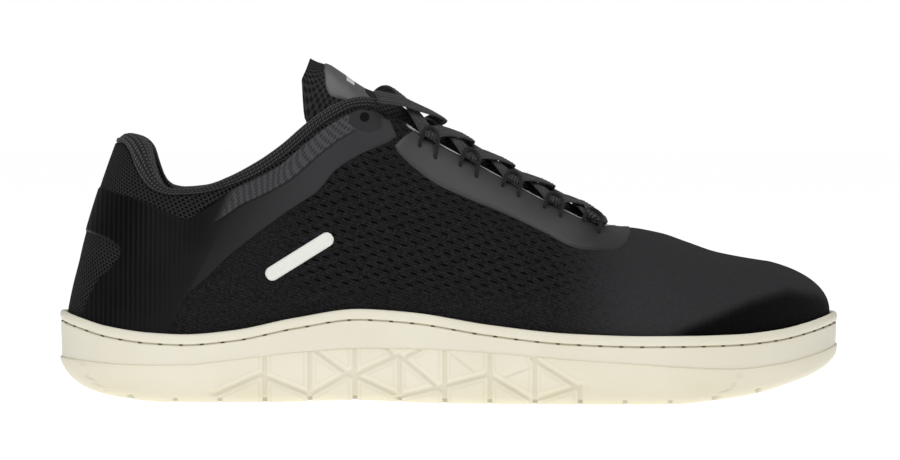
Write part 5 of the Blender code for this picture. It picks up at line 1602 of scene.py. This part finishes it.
def lace_course():
    """Rows of (along, across, stand, width share) from top eyelet to top eyelet."""
    stops = lace_stops()
    rows = []
    for (side, k, on_top), (far_side, far_k, _) in zip(stops, stops[1:]):
        a, b = np.array(seat(side, k)), np.array(seat(far_side, far_k))
        is_bar = k == 5 and far_k == 5
        if is_bar:
            a[0] = b[0] = BAR_ALONG
        t = np.linspace(0, 1, STRAND_POINTS)[:, None]
        place = a + t * (b - a)
        if on_top and not is_bar:
            from_side = np.sin(np.pi * (t if side == LATERAL else 1 - t))
            place[:, :1] += (TOP_BOW if k * far_k == 0 else BOW) * from_side
        level = np.full_like(t, HIGH if on_top else LOW)
        if is_bar:
            level = LOW + (HIGH - LOW) * ramp(t, 0.1, 0.8)
        level = level - DIP * np.sin(np.pi * t) ** 2
        if k == 0 or far_k == 0:
            near = t if k == 0 else 1 - t
            level = level + 1.2 * MM * (1 - near) ** 2 + 1.3 * MM * np.sin(np.pi * near) ** 2
        wide = (0.92 + 0.08 * ramp(np.minimum(t, 1 - t), 0.0, 0.25)) * (1.45 if is_bar else 1)
        rows.append(np.concatenate([place, level, wide], axis=1))
        if far_k:
            out = np.sin(np.pi * np.linspace(0.2, 0.8, TURN_POINTS))[:, None]
            turn = np.repeat(rows[-1][-1:], TURN_POINTS, axis=0)
            turn[:, 1:2] += far_side * TURN * out
            rows.append(turn)
    course = np.concatenate(rows)
    # Through a turn, the place along and the stand pass from one strand's to the next one's.
    for first in range(STRAND_POINTS, len(course), STRAND_POINTS + TURN_POINTS):
        after = first + TURN_POINTS
        for column, parts_of_way in ((2, (0.15, 0.5, 0.85)), (0, (0.25, 0.5, 0.75))):
            low, high = course[first - 1, column], course[after, column]
            course[first:after, column] = low + (high - low) * np.array(parts_of_way)
    return course


def strip_frame(course):
    """The lace's middle line with its run, its width direction and its face direction."""
    along, across, stand, _ = course.T
    middle = crown(along, across, stand)
    forward = crown(along + 0.004, across, stand) - crown(along - 0.004, across, stand)
    run = np.gradient(middle, axis=0)
    run /= np.linalg.norm(run, axis=1, keepdims=True)
    wide = forward - np.sum(forward * run, axis=1, keepdims=True) * run
    wide /= np.linalg.norm(wide, axis=1, keepdims=True)
    return middle, run, wide, np.cross(wide, run)


course = through(lace_course(), 1000)
middle, run, wide, face = strip_frame(course)
RIBS_ON_LACE = 5
turn = np.linspace(0, 2 * np.pi, 64, endpoint=False)[:, None]
half = 0.5 * LACE_WIDTH * course[None, :, 3]
flatness = np.sign(np.cos(turn)) * np.abs(np.cos(turn)) ** 0.7
heightness = np.sign(np.sin(turn)) * np.abs(np.sin(turn)) ** 0.55
rib = np.cos(2 * np.pi * RIBS_ON_LACE * flatness / 2)
body = 0.5 * LACE_THICKNESS * heightness * (1 - 0.16 * (1 + rib) * (np.abs(flatness) < 0.95))
grid = middle[None] + wide[None] * (half * flatness)[..., None] + face[None] * body[..., None]
length = np.concatenate([[0], np.cumsum(np.linalg.norm(np.diff(middle, axis=0), axis=1))])
cloth = np.stack(np.broadcast_arrays(length[None], 0.5 * LACE_WIDTH * flatness), axis=-1)
# groove marks the lace's grooves, which are painted near black as painted shade.
marks = {"groove": ended_cloth(0.92 * ramp(rib, 0.1, 0.85) + 0 * half)}
solid("flat_lace", ended(grid), ["lace"], lace_braid, False,
      ended_cloth(cloth), marks)
print("Lace on the shoe, mm:", round(length[-1] / MM))

# %% [markdown]
# ## The lace loops
# Each loop is a braided cord, sewn under the eyestay with both ends, that stands up round
# the lace. It is a round tube carried along a smooth course: out of the film, over the lace,
# and back into the film one lace width further on.

# %% Cord loops
LOOP_CORD = 1.4 * MM
# The course of one loop. Columns: along (share of LOOP_WIDTH), out from the throat's edge
# (share of LOOP_LENGTH), clear of the last in millimetres.
LOOP_LINE = (
    (-0.52, 0.86, -0.4),
    (-0.51, 0.76, 0.7),
    (-0.48, 0.58, 1.9),
    (-0.44, 0.36, 3.3),
    (-0.32, 0.16, 3.95),
    (0.00, 0.04, 4.1),
    (0.30, 0.18, 3.95),
    (0.38, 0.44, 3.3),
    (0.36, 0.74, 1.9),
    (0.34, 1.00, 0.7),
    (0.32, 1.12, -0.4),
)


def tube(middle, radius, sides):
    """Rings round a line: a ring is radius times (cos, sin) in the plane square to it."""
    run = np.gradient(middle, axis=0)
    run /= np.linalg.norm(run, axis=1, keepdims=True)
    beside = np.cross(run, np.array([0.3, 0.2, 0.93]))
    beside /= np.linalg.norm(beside, axis=1, keepdims=True)
    over = np.cross(run, beside)
    angle = np.linspace(0, 2 * np.pi, sides, endpoint=False)[:, None, None]
    return middle[None] + radius * (np.cos(angle) * beside + np.sin(angle) * over)


for side, word in ((LATERAL, "lateral"), (MEDIAL, "medial")):
    for k, along in enumerate(LOOP_PLACES):
        line = through(np.array(LOOP_LINE), 48)
        reach = throat_reach(side, along) + line[:, 1] * LOOP_LENGTH
        middle = crown(along + line[:, 0] * LOOP_WIDTH / LENGTH, side * reach, line[:, 2] * MM)
        rings = tube(middle, LOOP_CORD / 2, 14)
        length = np.concatenate([[0], np.cumsum(np.linalg.norm(np.diff(middle, axis=0), axis=1))])
        round_ = np.linspace(0, np.pi * LOOP_CORD, 14, endpoint=False)[:, None]
        cloth = np.stack(np.broadcast_arrays(length[None], round_), axis=-1)
        marks = {"groove": np.zeros((14, 50))}
        solid(f"cord_loop_{word}_{k + 1}", ended(rings), [f"lace_loop_{word}_{k + 1}"],
              cord_braid, False, ended_cloth(cloth), marks)

# %% [markdown]
# ## The sole's rubber and foam
# The sole is cream on the whole: a moulded rubber outsole and a softer sidewall cemented to
# it. Both are matt with a slight waxy gloss. A flat colour would look like paint, so the
# tone drifts a little, the lower edge is a shade warmer, and fine mould grain breaks up the
# gloss. Grooves, channels and tread gaps are painted darker, as painted shade.

# %% Cream materials
def cream(name, base, warm, roughness):
    """Moulded cream rubber: tone that drifts over centimetres, warmer low down, painted shade
    in the grooves, channels and gaps marked on the mesh, and with a fine mould grain."""
    made, tree, shader = start(name, Roughness=roughness, Specular_IOR_Level=0.4)
    spot = add(tree, "TexCoord", {})
    drift = add(tree, "TexNoise", {"Vector": spot.outputs[3], "Scale": 28.0})
    grain = add(tree, "TexNoise", {"Vector": spot.outputs[3], "Scale": 1500.0})
    height = add(tree, "SeparateXYZ", {0: spot.outputs[3]})
    low = stepped(tree, height.outputs[2], 0.012, 0.0)
    mixed = add(tree, "Math", {0: low, 1: 0.5, 2: drift}, operation="MULTIPLY_ADD")
    tone = blended(tree, stepped(tree, mixed, 0.3, 1.1), base, warm)
    # Painted shade: the mark on the mesh darkens grooves, channels and tread gaps.
    painted_shade = add(tree, "Attribute", {}, attribute_name="painted_shade").outputs[2]
    tone = blended(tree, painted_shade, tone, "968d74")
    tree.links.new(tone.outputs[0], shader.inputs["Base Color"])
    pressed(tree, shader, grain, 0.03 * MM)
    limits = {"To Min": roughness - 0.08, "To Max": roughness + 0.08}
    rough = add(tree, "MapRange", {"Value": drift, **limits})
    tree.links.new(rough.outputs[0], shader.inputs["Roughness"])
    return made


rubber = cream("moulded_cream_rubber", "f0ead6", "e6dfc6", 0.55)
sidewall = cream("moulded_cream_sidewall", "ede8d6", "e4ddc8", 0.5)

# %% [markdown]
# ## Slices across the sole
# The sole is cut into slices square to its length, like a loaf. A slice is a closed loop:
# down the lateral wall, across below, up the medial wall and back across inside. At heel
# and toe the two walls meet, so the loop folds flat and closes the sole by itself.

# %% Slices
LUG_START = 0.0965
LUG_COUNT = 15
LUG_PITCH = 0.05665
LUG_GAP = 1.7 * MM
LUG_DEPTH = 2.0 * MM


def slice_places(count, marks=()):
    """Places along the shoe where slices are cut: even steps round both outlines, plus the
    marked ones, at least 0.12 mm apart."""
    even = np.linspace(0, 1, count)
    places = [outline(side, even, 0)[0][:, 0] for side in (LATERAL, MEDIAL)]
    places = np.sort(np.concatenate(places + [np.asarray(marks, float)]))
    keep = np.concatenate([[True], np.diff(places) > 0.12 * MM])
    places = places[keep]
    return np.concatenate([[0.0], places[1:-1], [LENGTH]])


def cut_slices(places, rings, low_bars, high_bars):
    """Section loops for the sole. Each ring is (inset, height), both functions of x. The
    first ring is joined across by low_bars points and the last by high_bars points.

    Returns the grid, and for each row its ring (-1 on the bars)."""
    walls = []
    for side in (LATERAL, MEDIAL):
        shares, xy, _ = CURVES[side]
        share = np.interp(places, xy[:, 0], shares)
        wall = []
        for inset, height in rings:
            flat = outline(side, share, inset)[0]
            wall.append(np.concatenate([flat, height(flat[:, 0])[:, None]], axis=1))
        walls.append(np.stack(wall))
    above = bars(walls[0][-1], walls[1][-1], high_bars)
    below = bars(walls[1][0], walls[0][0], low_bars)
    grid = np.concatenate([walls[0], above, walls[1][::-1], below])
    count = len(rings)
    rows = np.concatenate([np.arange(count), np.full(high_bars, -1), np.arange(count)[::-1],
                           np.full(low_bars, -1)])
    return grid, rows


def bars(first, second, count):
    """Points straight across between two edges, without the edges themselves."""
    t = (np.arange(1, count + 1) / (count + 1))[:, None, None]
    return first[None] * (1 - t) + second[None] * t


# %% [markdown]
# ## The sidewall
# The sidewall ends in a round bead, with a stitched groove below it. Its profile is drawn
# once, as insets and depths below the rim, smoothed, and carried round the outline.

# %% Midsole and its bead
# The bead's profile, from the step up and over. Columns: inset (share of RIM_WIDTH), depth
# below the rim (share of RIM_DEPTH).
BEAD = (
    (0.10, 1.45),
    (0.09, 1.22),
    (0.12, 1.10),
    (0.36, 1.04),
    (0.40, 0.99),
    (0.34, 0.94),
    (0.10, 0.86),
    (0.01, 0.66),
    (0.00, 0.44),
    (0.10, 0.20),
    (0.32, 0.04),
    (0.60, 0.00),
    (0.84, 0.08),
)
# Rings below the sidewall's own, rings on it, and the first and last place of the groove in
# the bead's smoothed profile.
LOW_RINGS, WALL_RINGS, GROOVE_FIRST, GROOVE_LAST = 3, 7, 13, 19


def midsole_rings():
    """Rings of the sidewall: out over the outsole's lip, up to the bead, down inside."""
    lip = LIP_WIDTH + CLEARANCE
    rings = [(lip, lambda x: tray(x) + CLEARANCE)]
    rings.append((lip, lambda x: outsole_top(x) - 0.05 * MM))
    rings.append((STEP_INSET, lambda x: outsole_top(x) - 0.05 * MM))
    profile = through(np.array(BEAD), 46)
    for part in np.linspace(0.04, 0.96, WALL_RINGS):
        inset = STEP_INSET * (1 - 0.5 * part)

        def height(x, part=part):
            """A share of the way from the outsole's top to the bead's lower end."""
            top = rim_top(x) - BEAD[0][1] * RIM_DEPTH
            return outsole_top(x) + part * np.maximum(top - outsole_top(x), 0)

        rings.append((inset, height))
    for inset, depth in profile:
        rings.append((inset * RIM_WIDTH, lambda x, depth=depth: rim_top(x) - depth * RIM_DEPTH))
    inner = RIM_WIDTH - CLEARANCE
    for part in (0.0, 0.5, 1.0):
        rings.append((inner, lambda x, part=part: (
            (1 - part) * (rim_top(x) - 0.3 * RIM_DEPTH) + part * bed(x))))
    return rings


places = slice_places(250)
rings = midsole_rings()
grid, rows = cut_slices(places, rings, 8, 8)
bead_rows = rows - LOW_RINGS - WALL_RINGS
in_groove = (bead_rows >= GROOVE_FIRST) & (bead_rows <= GROOVE_LAST)
# Painted shade in the stitched groove below the bead.
painted_shade = np.where(in_groove, 0.55, 0.0)[:, None]
solid("sidewall_with_bead", grid, ["midsole"], sidewall,
      marks={"painted_shade": painted_shade})

# %% [markdown]
# ## The stitched groove
# A cream thread runs in the groove and dives into a hole every 7.6 mm. From a step away
# only the holes show, as short dark dashes, so only they are built. Each is a small tube
# with pointed ends that lies in the groove.

# %% Needle holes
STITCH_PITCH = 7.6 * MM
HOLE_HALF_LENGTH = 0.85 * MM
HOLE_HALF_HEIGHT = 0.30 * MM
HOLE_HALF_DEPTH = 0.42 * MM
HOLE_PROUD = 0.12 * MM
HOLE_SIDES, HOLE_STEPS = 8, 9


def groove_line(side, distance):
    """Points along the groove, at a distance from the heel's back round the outline."""
    whole = np.linalg.norm(np.diff(CURVES[side][1], axis=0), axis=1).sum()
    flat, away = outline(side, distance / whole, 0.36 * RIM_WIDTH)
    high = rim_top(flat[:, 0]) - RIM_DEPTH
    return np.concatenate([flat, high[:, None]], axis=1), away


def hole_finish(name, base, other):
    """The shade inside a needle hole, a little uneven, as on torn rubber."""
    made, tree, shader = start(name, Roughness=0.6)
    spot = add(tree, "TexCoord", {})
    torn = add(tree, "TexNoise", {"Vector": spot.outputs[3], "Scale": 900.0})
    tone = blended(tree, torn, base, other)
    tree.links.new(tone.outputs[0], shader.inputs["Base Color"])
    return made


hole_dark = hole_finish("needle_hole_shadow", "3b352a", "5a5240")
for side, word in ((LATERAL, "lateral"), (MEDIAL, "medial")):
    whole = np.linalg.norm(np.diff(CURVES[side][1], axis=0), axis=1).sum()
    centres = np.arange(0.5 * STITCH_PITCH, whole, STITCH_PITCH)
    t = np.linspace(-1, 1, HOLE_STEPS)
    at = centres[:, None] + t[None] * HOLE_HALF_LENGTH
    line, away = groove_line(side, at.ravel())
    thin = np.sqrt(np.clip(1 - t**2, 0.0, 1))
    thin = np.broadcast_to(thin, at.shape).ravel()
    angle = np.linspace(0, 2 * np.pi, HOLE_SIDES, endpoint=False)[:, None]
    tall = np.sin(angle) * HOLE_HALF_HEIGHT * thin
    deep = np.cos(angle) * HOLE_HALF_DEPTH * thin
    level_away = np.concatenate([away, 0 * away[:, :1]], axis=1)
    grid = line[None] + level_away[None] * (deep + HOLE_PROUD)[..., None]
    grid[..., 2] += tall
    # The quads between one hole and the next are left out.
    gap = (np.arange(grid.shape[1]) % HOLE_STEPS == HOLE_STEPS - 1)[None]
    drop = np.broadcast_to(gap, (HOLE_SIDES, grid.shape[1]))[:, :-1]
    solid(f"needle_holes_{word}", grid, [], hole_dark, drop=drop)

# %% [markdown]
# ## The outsole
# The rubber's side is pressed into triangular facets between narrow channels, and the tread
# is cut by gaps that show as notches along the bottom edge. Both are distances from lines
# drawn in the side view: the wall sinks where a line is near, and each facet slopes up to a
# crisp break a little way off, which draws the fine line inside every triangle. Channels,
# breaks, seams and notches are also painted darker, as painted shade.

# %% Facet lines
# How the outsole's side turns under.
# Columns: inset from the outline (share of RIM_WIDTH), height (share of the way from the
# underside to the top of the outsole).
TURN_UNDER = (
    (1.90, 0.00),
    (0.85, 0.06),
    (0.32, 0.22),
    (0.06, 0.55),
    (0.00, 0.94),
    (0.20, 1.00),
)
# Slanted grooves pressed into the outsole's side, seen from the side.
# Columns: start along and height, end along and height (shares of LENGTH and
# WALL_HEIGHT).
FACETS = (
    (0.212, 0.124, 0.259, 0.297),
    (0.269, 0.275, 0.318, 0.113),
    (0.328, 0.113, 0.371, 0.318),
    (0.336, 0.520, 0.367, 0.335),
    (0.383, 0.318, 0.425, 0.480),
    (0.380, 0.297, 0.431, 0.103),
    (0.441, 0.480, 0.483, 0.189),
    (0.438, 0.081, 0.474, 0.157),
    (0.494, 0.200, 0.543, 0.308),
    (0.503, 0.525, 0.531, 0.340),
    (0.552, 0.297, 0.601, 0.060),
    (0.568, 0.290, 0.600, 0.394),
    (0.609, 0.459, 0.657, 0.210),
    (0.608, 0.060, 0.656, 0.189),
)
# Upright grooves, each above a lug gap.
# Columns: which gap, counted from the heel, and the groove's top (share of WALL_HEIGHT).
UPRIGHTS = (
    (3, 0.520),
    (4, 0.590),
    (5, 0.620),
    (6, 0.459),
    (7, 0.620),
    (8, 0.600),
    (9, 0.560),
    (10, 0.190),
)
# Thin seams. Columns as for FACETS.
SEAMS = (
    (0.030, 0.440, 0.041, 0.262),
    (0.041, 0.262, 0.064, 0.124),
    (0.866, 0.362, 0.857, 0.190),
    (0.857, 0.190, 0.836, 0.103),
)
# The outer ends of the top row of facets. Columns as for FACETS.
SHOULDERS = (
    (0.420, 0.590, 0.428, 0.510),
    (0.442, 0.490, 0.462, 0.580),
)
CHANNEL, SLOPE, BREAK = 0.30 * MM, 1.00 * MM, 2.1 * MM
CHANNEL_DEPTH, SLOPE_DEPTH = 0.95 * MM, 0.26 * MM


def away_from(lines, x, z):
    """The least distance in the side view from each point to any of the lines."""
    found = np.full(x.shape, 1.0)
    for x0, z0, x1, z1 in lines:
        a = np.array([x0 * LENGTH, z0 * WALL_HEIGHT])
        run = np.array([x1 * LENGTH, z1 * WALL_HEIGHT]) - a
        part = np.clip(((x - a[0]) * run[0] + (z - a[1]) * run[1]) / (run @ run), 0, 1)
        found = np.minimum(found, np.hypot(x - a[0] - part * run[0], z - a[1] - part * run[1]))
    return found


# Rows of FACETS that are only fine breaks inside a facet, and how far the others are drawn
# out at both ends, so that the channels meet.
FINE = (9, 11)
MEETING = 2.2 * MM


def lengthened(lines, by):
    """The same lines, each drawn out by a length at both ends."""
    scale = np.array([LENGTH, WALL_HEIGHT])
    ends = np.array(lines).reshape(-1, 2, 2) * scale
    run = ends[:, 1] - ends[:, 0]
    run = by * run / np.linalg.norm(run, axis=1)[:, None]
    ends = np.stack([ends[:, 0] - run, ends[:, 1] + run], axis=1) / scale
    return ends.reshape(-1, 4).tolist()


def wall_depth(x, z):
    """How far the outsole's side sinks: channels, the slope beside them, and seams. Also
    where the channels are, and where a facet breaks."""
    channels = lengthened([line for k, line in enumerate(FACETS) if k not in FINE], MEETING)
    seams = list(SEAMS) + [FACETS[k] for k in FINE]
    uprights = [(LUG_START + k * LUG_PITCH, 0.03, LUG_START + k * LUG_PITCH, top)
                for k, top in UPRIGHTS]
    off = away_from(channels + uprights + list(SHOULDERS), x, z)
    channel = 1 - ramp(off, CHANNEL, SLOPE)
    slope = np.clip((BREAK - off) / (BREAK - SLOPE), 0, 1)
    depth = SLOPE_DEPTH * slope + (CHANNEL_DEPTH - SLOPE_DEPTH) * channel
    seam = 1 - ramp(away_from(seams, x, z), 0.15 * MM, 0.5 * MM)
    crease = 1 - ramp(np.abs(off - BREAK), 0.0, 0.45 * MM)
    return depth + 0.35 * MM * seam, channel, np.maximum(crease, seam)


def lug_gap(x):
    """1 inside a tread gap and 0 outside it."""
    k = np.clip(np.round((x / LENGTH - LUG_START) / LUG_PITCH), 0, LUG_COUNT - 1)
    off = np.abs(x - (LUG_START + k * LUG_PITCH) * LENGTH)
    return 1 - ramp(off, 0.5 * LUG_GAP - 0.25 * MM, 0.5 * LUG_GAP + 0.1 * MM)


# %% Outsole
WALL_STEPS = 54
LOW_BARS, HIGH_BARS = 20, 6
NOTCH_DEPTH = 1.1 * MM
TREAD_RIB, TREAD_RIB_PITCH = 0.35 * MM, 8 * MM
gaps = (LUG_START + LUG_PITCH * np.arange(LUG_COUNT)) * LENGTH
edges = [gaps + hand * (0.5 * LUG_GAP + step)
         for hand in (-1, 1) for step in (-0.25 * MM, 0.1 * MM)]
faceted = np.arange(0.205 * LENGTH, 0.665 * LENGTH, 0.34 * MM)
places = slice_places(84, np.concatenate([gaps, faceted] + edges))
profile = through(np.array(TURN_UNDER), 400)
steps = np.abs(np.diff(profile, axis=0)) @ (0.2, 1.0)
climbed = np.concatenate([[0], np.cumsum(steps)])
even = np.linspace(0, climbed[-1], WALL_STEPS)
profile = np.stack([np.interp(even, climbed, profile[:, k]) for k in (0, 1)], axis=-1)
rings = []
for inset, part in profile:
    rings.append((inset * RIM_WIDTH,
                  lambda x, part=part: underside(x) + part * (outsole_top(x) - underside(x))))
rings.append((LIP_WIDTH, outsole_top))
rings.append((LIP_WIDTH, tray))
grid, rows = cut_slices(places, rings, LOW_BARS, HIGH_BARS)
x, z = grid[..., 0], grid[..., 2]
on_wall = ((rows >= 0) & (rows < WALL_STEPS))[:, None]
depth, channel, crease = wall_depth(x, z)
climb = z - underside(x)
notch = lug_gap(x) * (1 - ramp(climb, 1.5 * MM, 2.2 * MM))
# Towards the outsole's top edge the channels run out, but not at the shoulders.
fade = ramp(z, outsole_top(x) - 0.5 * MM, outsole_top(x)) * (away_from(SHOULDERS, x, z) > BREAK)
depth = np.where(on_wall, depth * (1 - 0.85 * fade) + NOTCH_DEPTH * notch, 0)
shares = {side: np.interp(places, CURVES[side][1][:, 0], CURVES[side][0]) for side in CURVES}
inwards = np.zeros(grid.shape)
count = len(rings)
for side, first in ((LATERAL, 0), (MEDIAL, count + HIGH_BARS)):
    away = outline(side, shares[side], 0)[1]
    inwards[first : first + count, :, :2] = -away[None]
ends = ramp(np.minimum(places, LENGTH - places), 0, 3 * MM)[None]
grid = grid + inwards * (depth * ends)[..., None]
is_tread = (rows == -1)[:, None] & (np.arange(len(rows)) > count + HIGH_BARS)[:, None]
rise = LUG_DEPTH * lug_gap(x) * (is_tread | (on_wall & (climb < 0.3 * MM)))
ribs_on_tread = TREAD_RIB * (0.5 + 0.5 * np.sin(2 * np.pi * grid[..., 1] / TREAD_RIB_PITCH))
grid[..., 2] += rise + ribs_on_tread * is_tread
# Painted shade: darker in the channels, along each facet's break and the seams, in the tread notches
# and in the tread's gaps.
shade_on_wall = 0.13 * channel + 0.12 * crease + 0.45 * notch
painted_shade = np.where(on_wall, shade_on_wall, 0.25 * lug_gap(x) * is_tread)
solid("faceted_rubber_outsole", grid, ["outsole"], rubber,
      marks={"painted_shade": painted_shade})

# %% [markdown]
# ## The insole
# A thin footbed of foam covered with fabric lies inside. It shows only from above, so it is
# a plain sheet with a dished edge and a woven top.

# %% Insole
INSOLE_THICKNESS = 3.5 * MM


def footbed_finish():
    """Woven top cloth on foam: a small square weave in dark grey."""
    made, tree, shader = start("woven_footbed_cloth", Roughness=0.92)
    spot = add(tree, "TexCoord", {})
    parts_ = add(tree, "SeparateXYZ", {0: spot.outputs[3]})
    weave = staggered(tree, parts_.outputs[0], parts_.outputs[1], 1.6 * MM, 0.8 * MM)
    cloth_ = stepped(tree, weave, -0.6, 0.6)
    tone = blended(tree, cloth_, "222224", "3a3a3d")
    tree.links.new(tone.outputs[0], shader.inputs["Base Color"])
    pressed(tree, shader, cloth_, 0.12 * MM)
    return made


inset = RIM_WIDTH + UPPER_WALL + 2 * CLEARANCE
rings = [(inset, lambda x: bed(x) + CLEARANCE)]
for part, turn in ((0.5, 0.0), (0.85, 0.02), (1.0, 0.10), (0.96, 0.25), (0.9, 0.45)):
    rings.append((inset * (1 + turn),
                  lambda x, part=part: bed(x) + CLEARANCE + part * INSOLE_THICKNESS))
grid, rows = cut_slices(slice_places(150), rings, 6, 16)
insole = solid("footbed", grid, ["insole"], footbed_finish())

# %% [markdown]
# ## Floor, light and camera
# The photograph is a side view with a long lens, on white, lit by large soft lamps from
# above. The floor is a shooting table of white acrylic lit from below, and two big area
# lamps give the soft light and the faint gloss on the films. The camera stands two metres
# off, so that 900 picture points span 330 mm of shoe.

# %% Floor
def floor_finish():
    """Translucent white acrylic, lit from below, with the slightest unevenness."""
    made, tree, shader = start("lit_white_acrylic", Roughness=0.9, Specular_IOR_Level=0.1)
    shader.inputs["Emission Color"].default_value = (1, 1, 1, 1)
    shader.inputs["Emission Strength"].default_value = 0.92
    spot = add(tree, "TexCoord", {})
    cloudy = add(tree, "TexNoise", {"Vector": spot.outputs[3], "Scale": 3.0})
    tone = blended(tree, cloudy, "989898", "a0a0a0")
    tree.links.new(tone.outputs[0], shader.inputs["Base Color"])
    return made


mesh = bpy.data.meshes.new("studio_floor")
mesh.from_pydata([(-8, -8, 0), (8, -8, 0), (8, 8, 0), (-8, 8, 0)], [], [(0, 1, 2, 3)])
mesh.materials.append(floor_finish())
floor = bpy.data.objects.new("studio_floor", mesh)
bpy.context.scene.collection.objects.link(floor)

# %% Light
SURROUND = 0.20


def lamp(name, place, target, size, power):
    """A square area lamp at a place, turned to face a target."""
    light = bpy.data.lights.new(name, "AREA")
    light.shape = "SQUARE"
    light.size = size
    light.energy = power
    made = bpy.data.objects.new(name, light)
    bpy.context.scene.collection.objects.link(made)
    made.location = place
    gaze = np.array(target, float) - np.array(place, float)
    gaze /= np.linalg.norm(gaze)
    made.rotation_mode = "XYZ"
    made.rotation_euler = (math.acos(-gaze[2]), 0, math.atan2(-gaze[0], gaze[1]))
    return made


scene = bpy.context.scene
world = bpy.data.worlds.new("white_surround")
world.use_nodes = True
tree = world.node_tree
ray = add(tree, "LightPath", {})
strength = add(tree, "Math", {0: ray.outputs["Is Camera Ray"], 1: 1 - SURROUND, 2: SURROUND},
               operation="MULTIPLY_ADD")
tree.nodes["Background"].inputs["Color"].default_value = (1, 1, 1, 1)
tree.links.new(strength.outputs[0], tree.nodes["Background"].inputs["Strength"])
scene.world = world
lamp("top_softbox", (0.10, -0.35, 1.3), (0, 0, 0.05), 1.3, 10)
lamp("front_softbox", (-0.5, -1.5, 0.8), (0, 0, 0.05), 0.9, 6)
scene.view_settings.view_transform = "Standard"

# %% Camera
VIEW_WIDTH = 330.4 * MM
DISTANCE = 2.0
AIM = (0.0, 0.0, 61.5 * MM)
ELEVATION = math.radians(1.5)

lens = bpy.data.cameras.new("photo_lens")
lens.sensor_width = 36
lens.lens = 36 * DISTANCE / VIEW_WIDTH
camera = bpy.data.objects.new("photo_camera", lens)
scene.collection.objects.link(camera)
back, up = DISTANCE * math.cos(ELEVATION), DISTANCE * math.sin(ELEVATION)
camera.location = (AIM[0], AIM[1] - back, AIM[2] + up)
camera.rotation_euler = (math.pi / 2 - ELEVATION, 0, 0)
scene.camera = camera
print("Lens, mm:", round(lens.lens, 1))
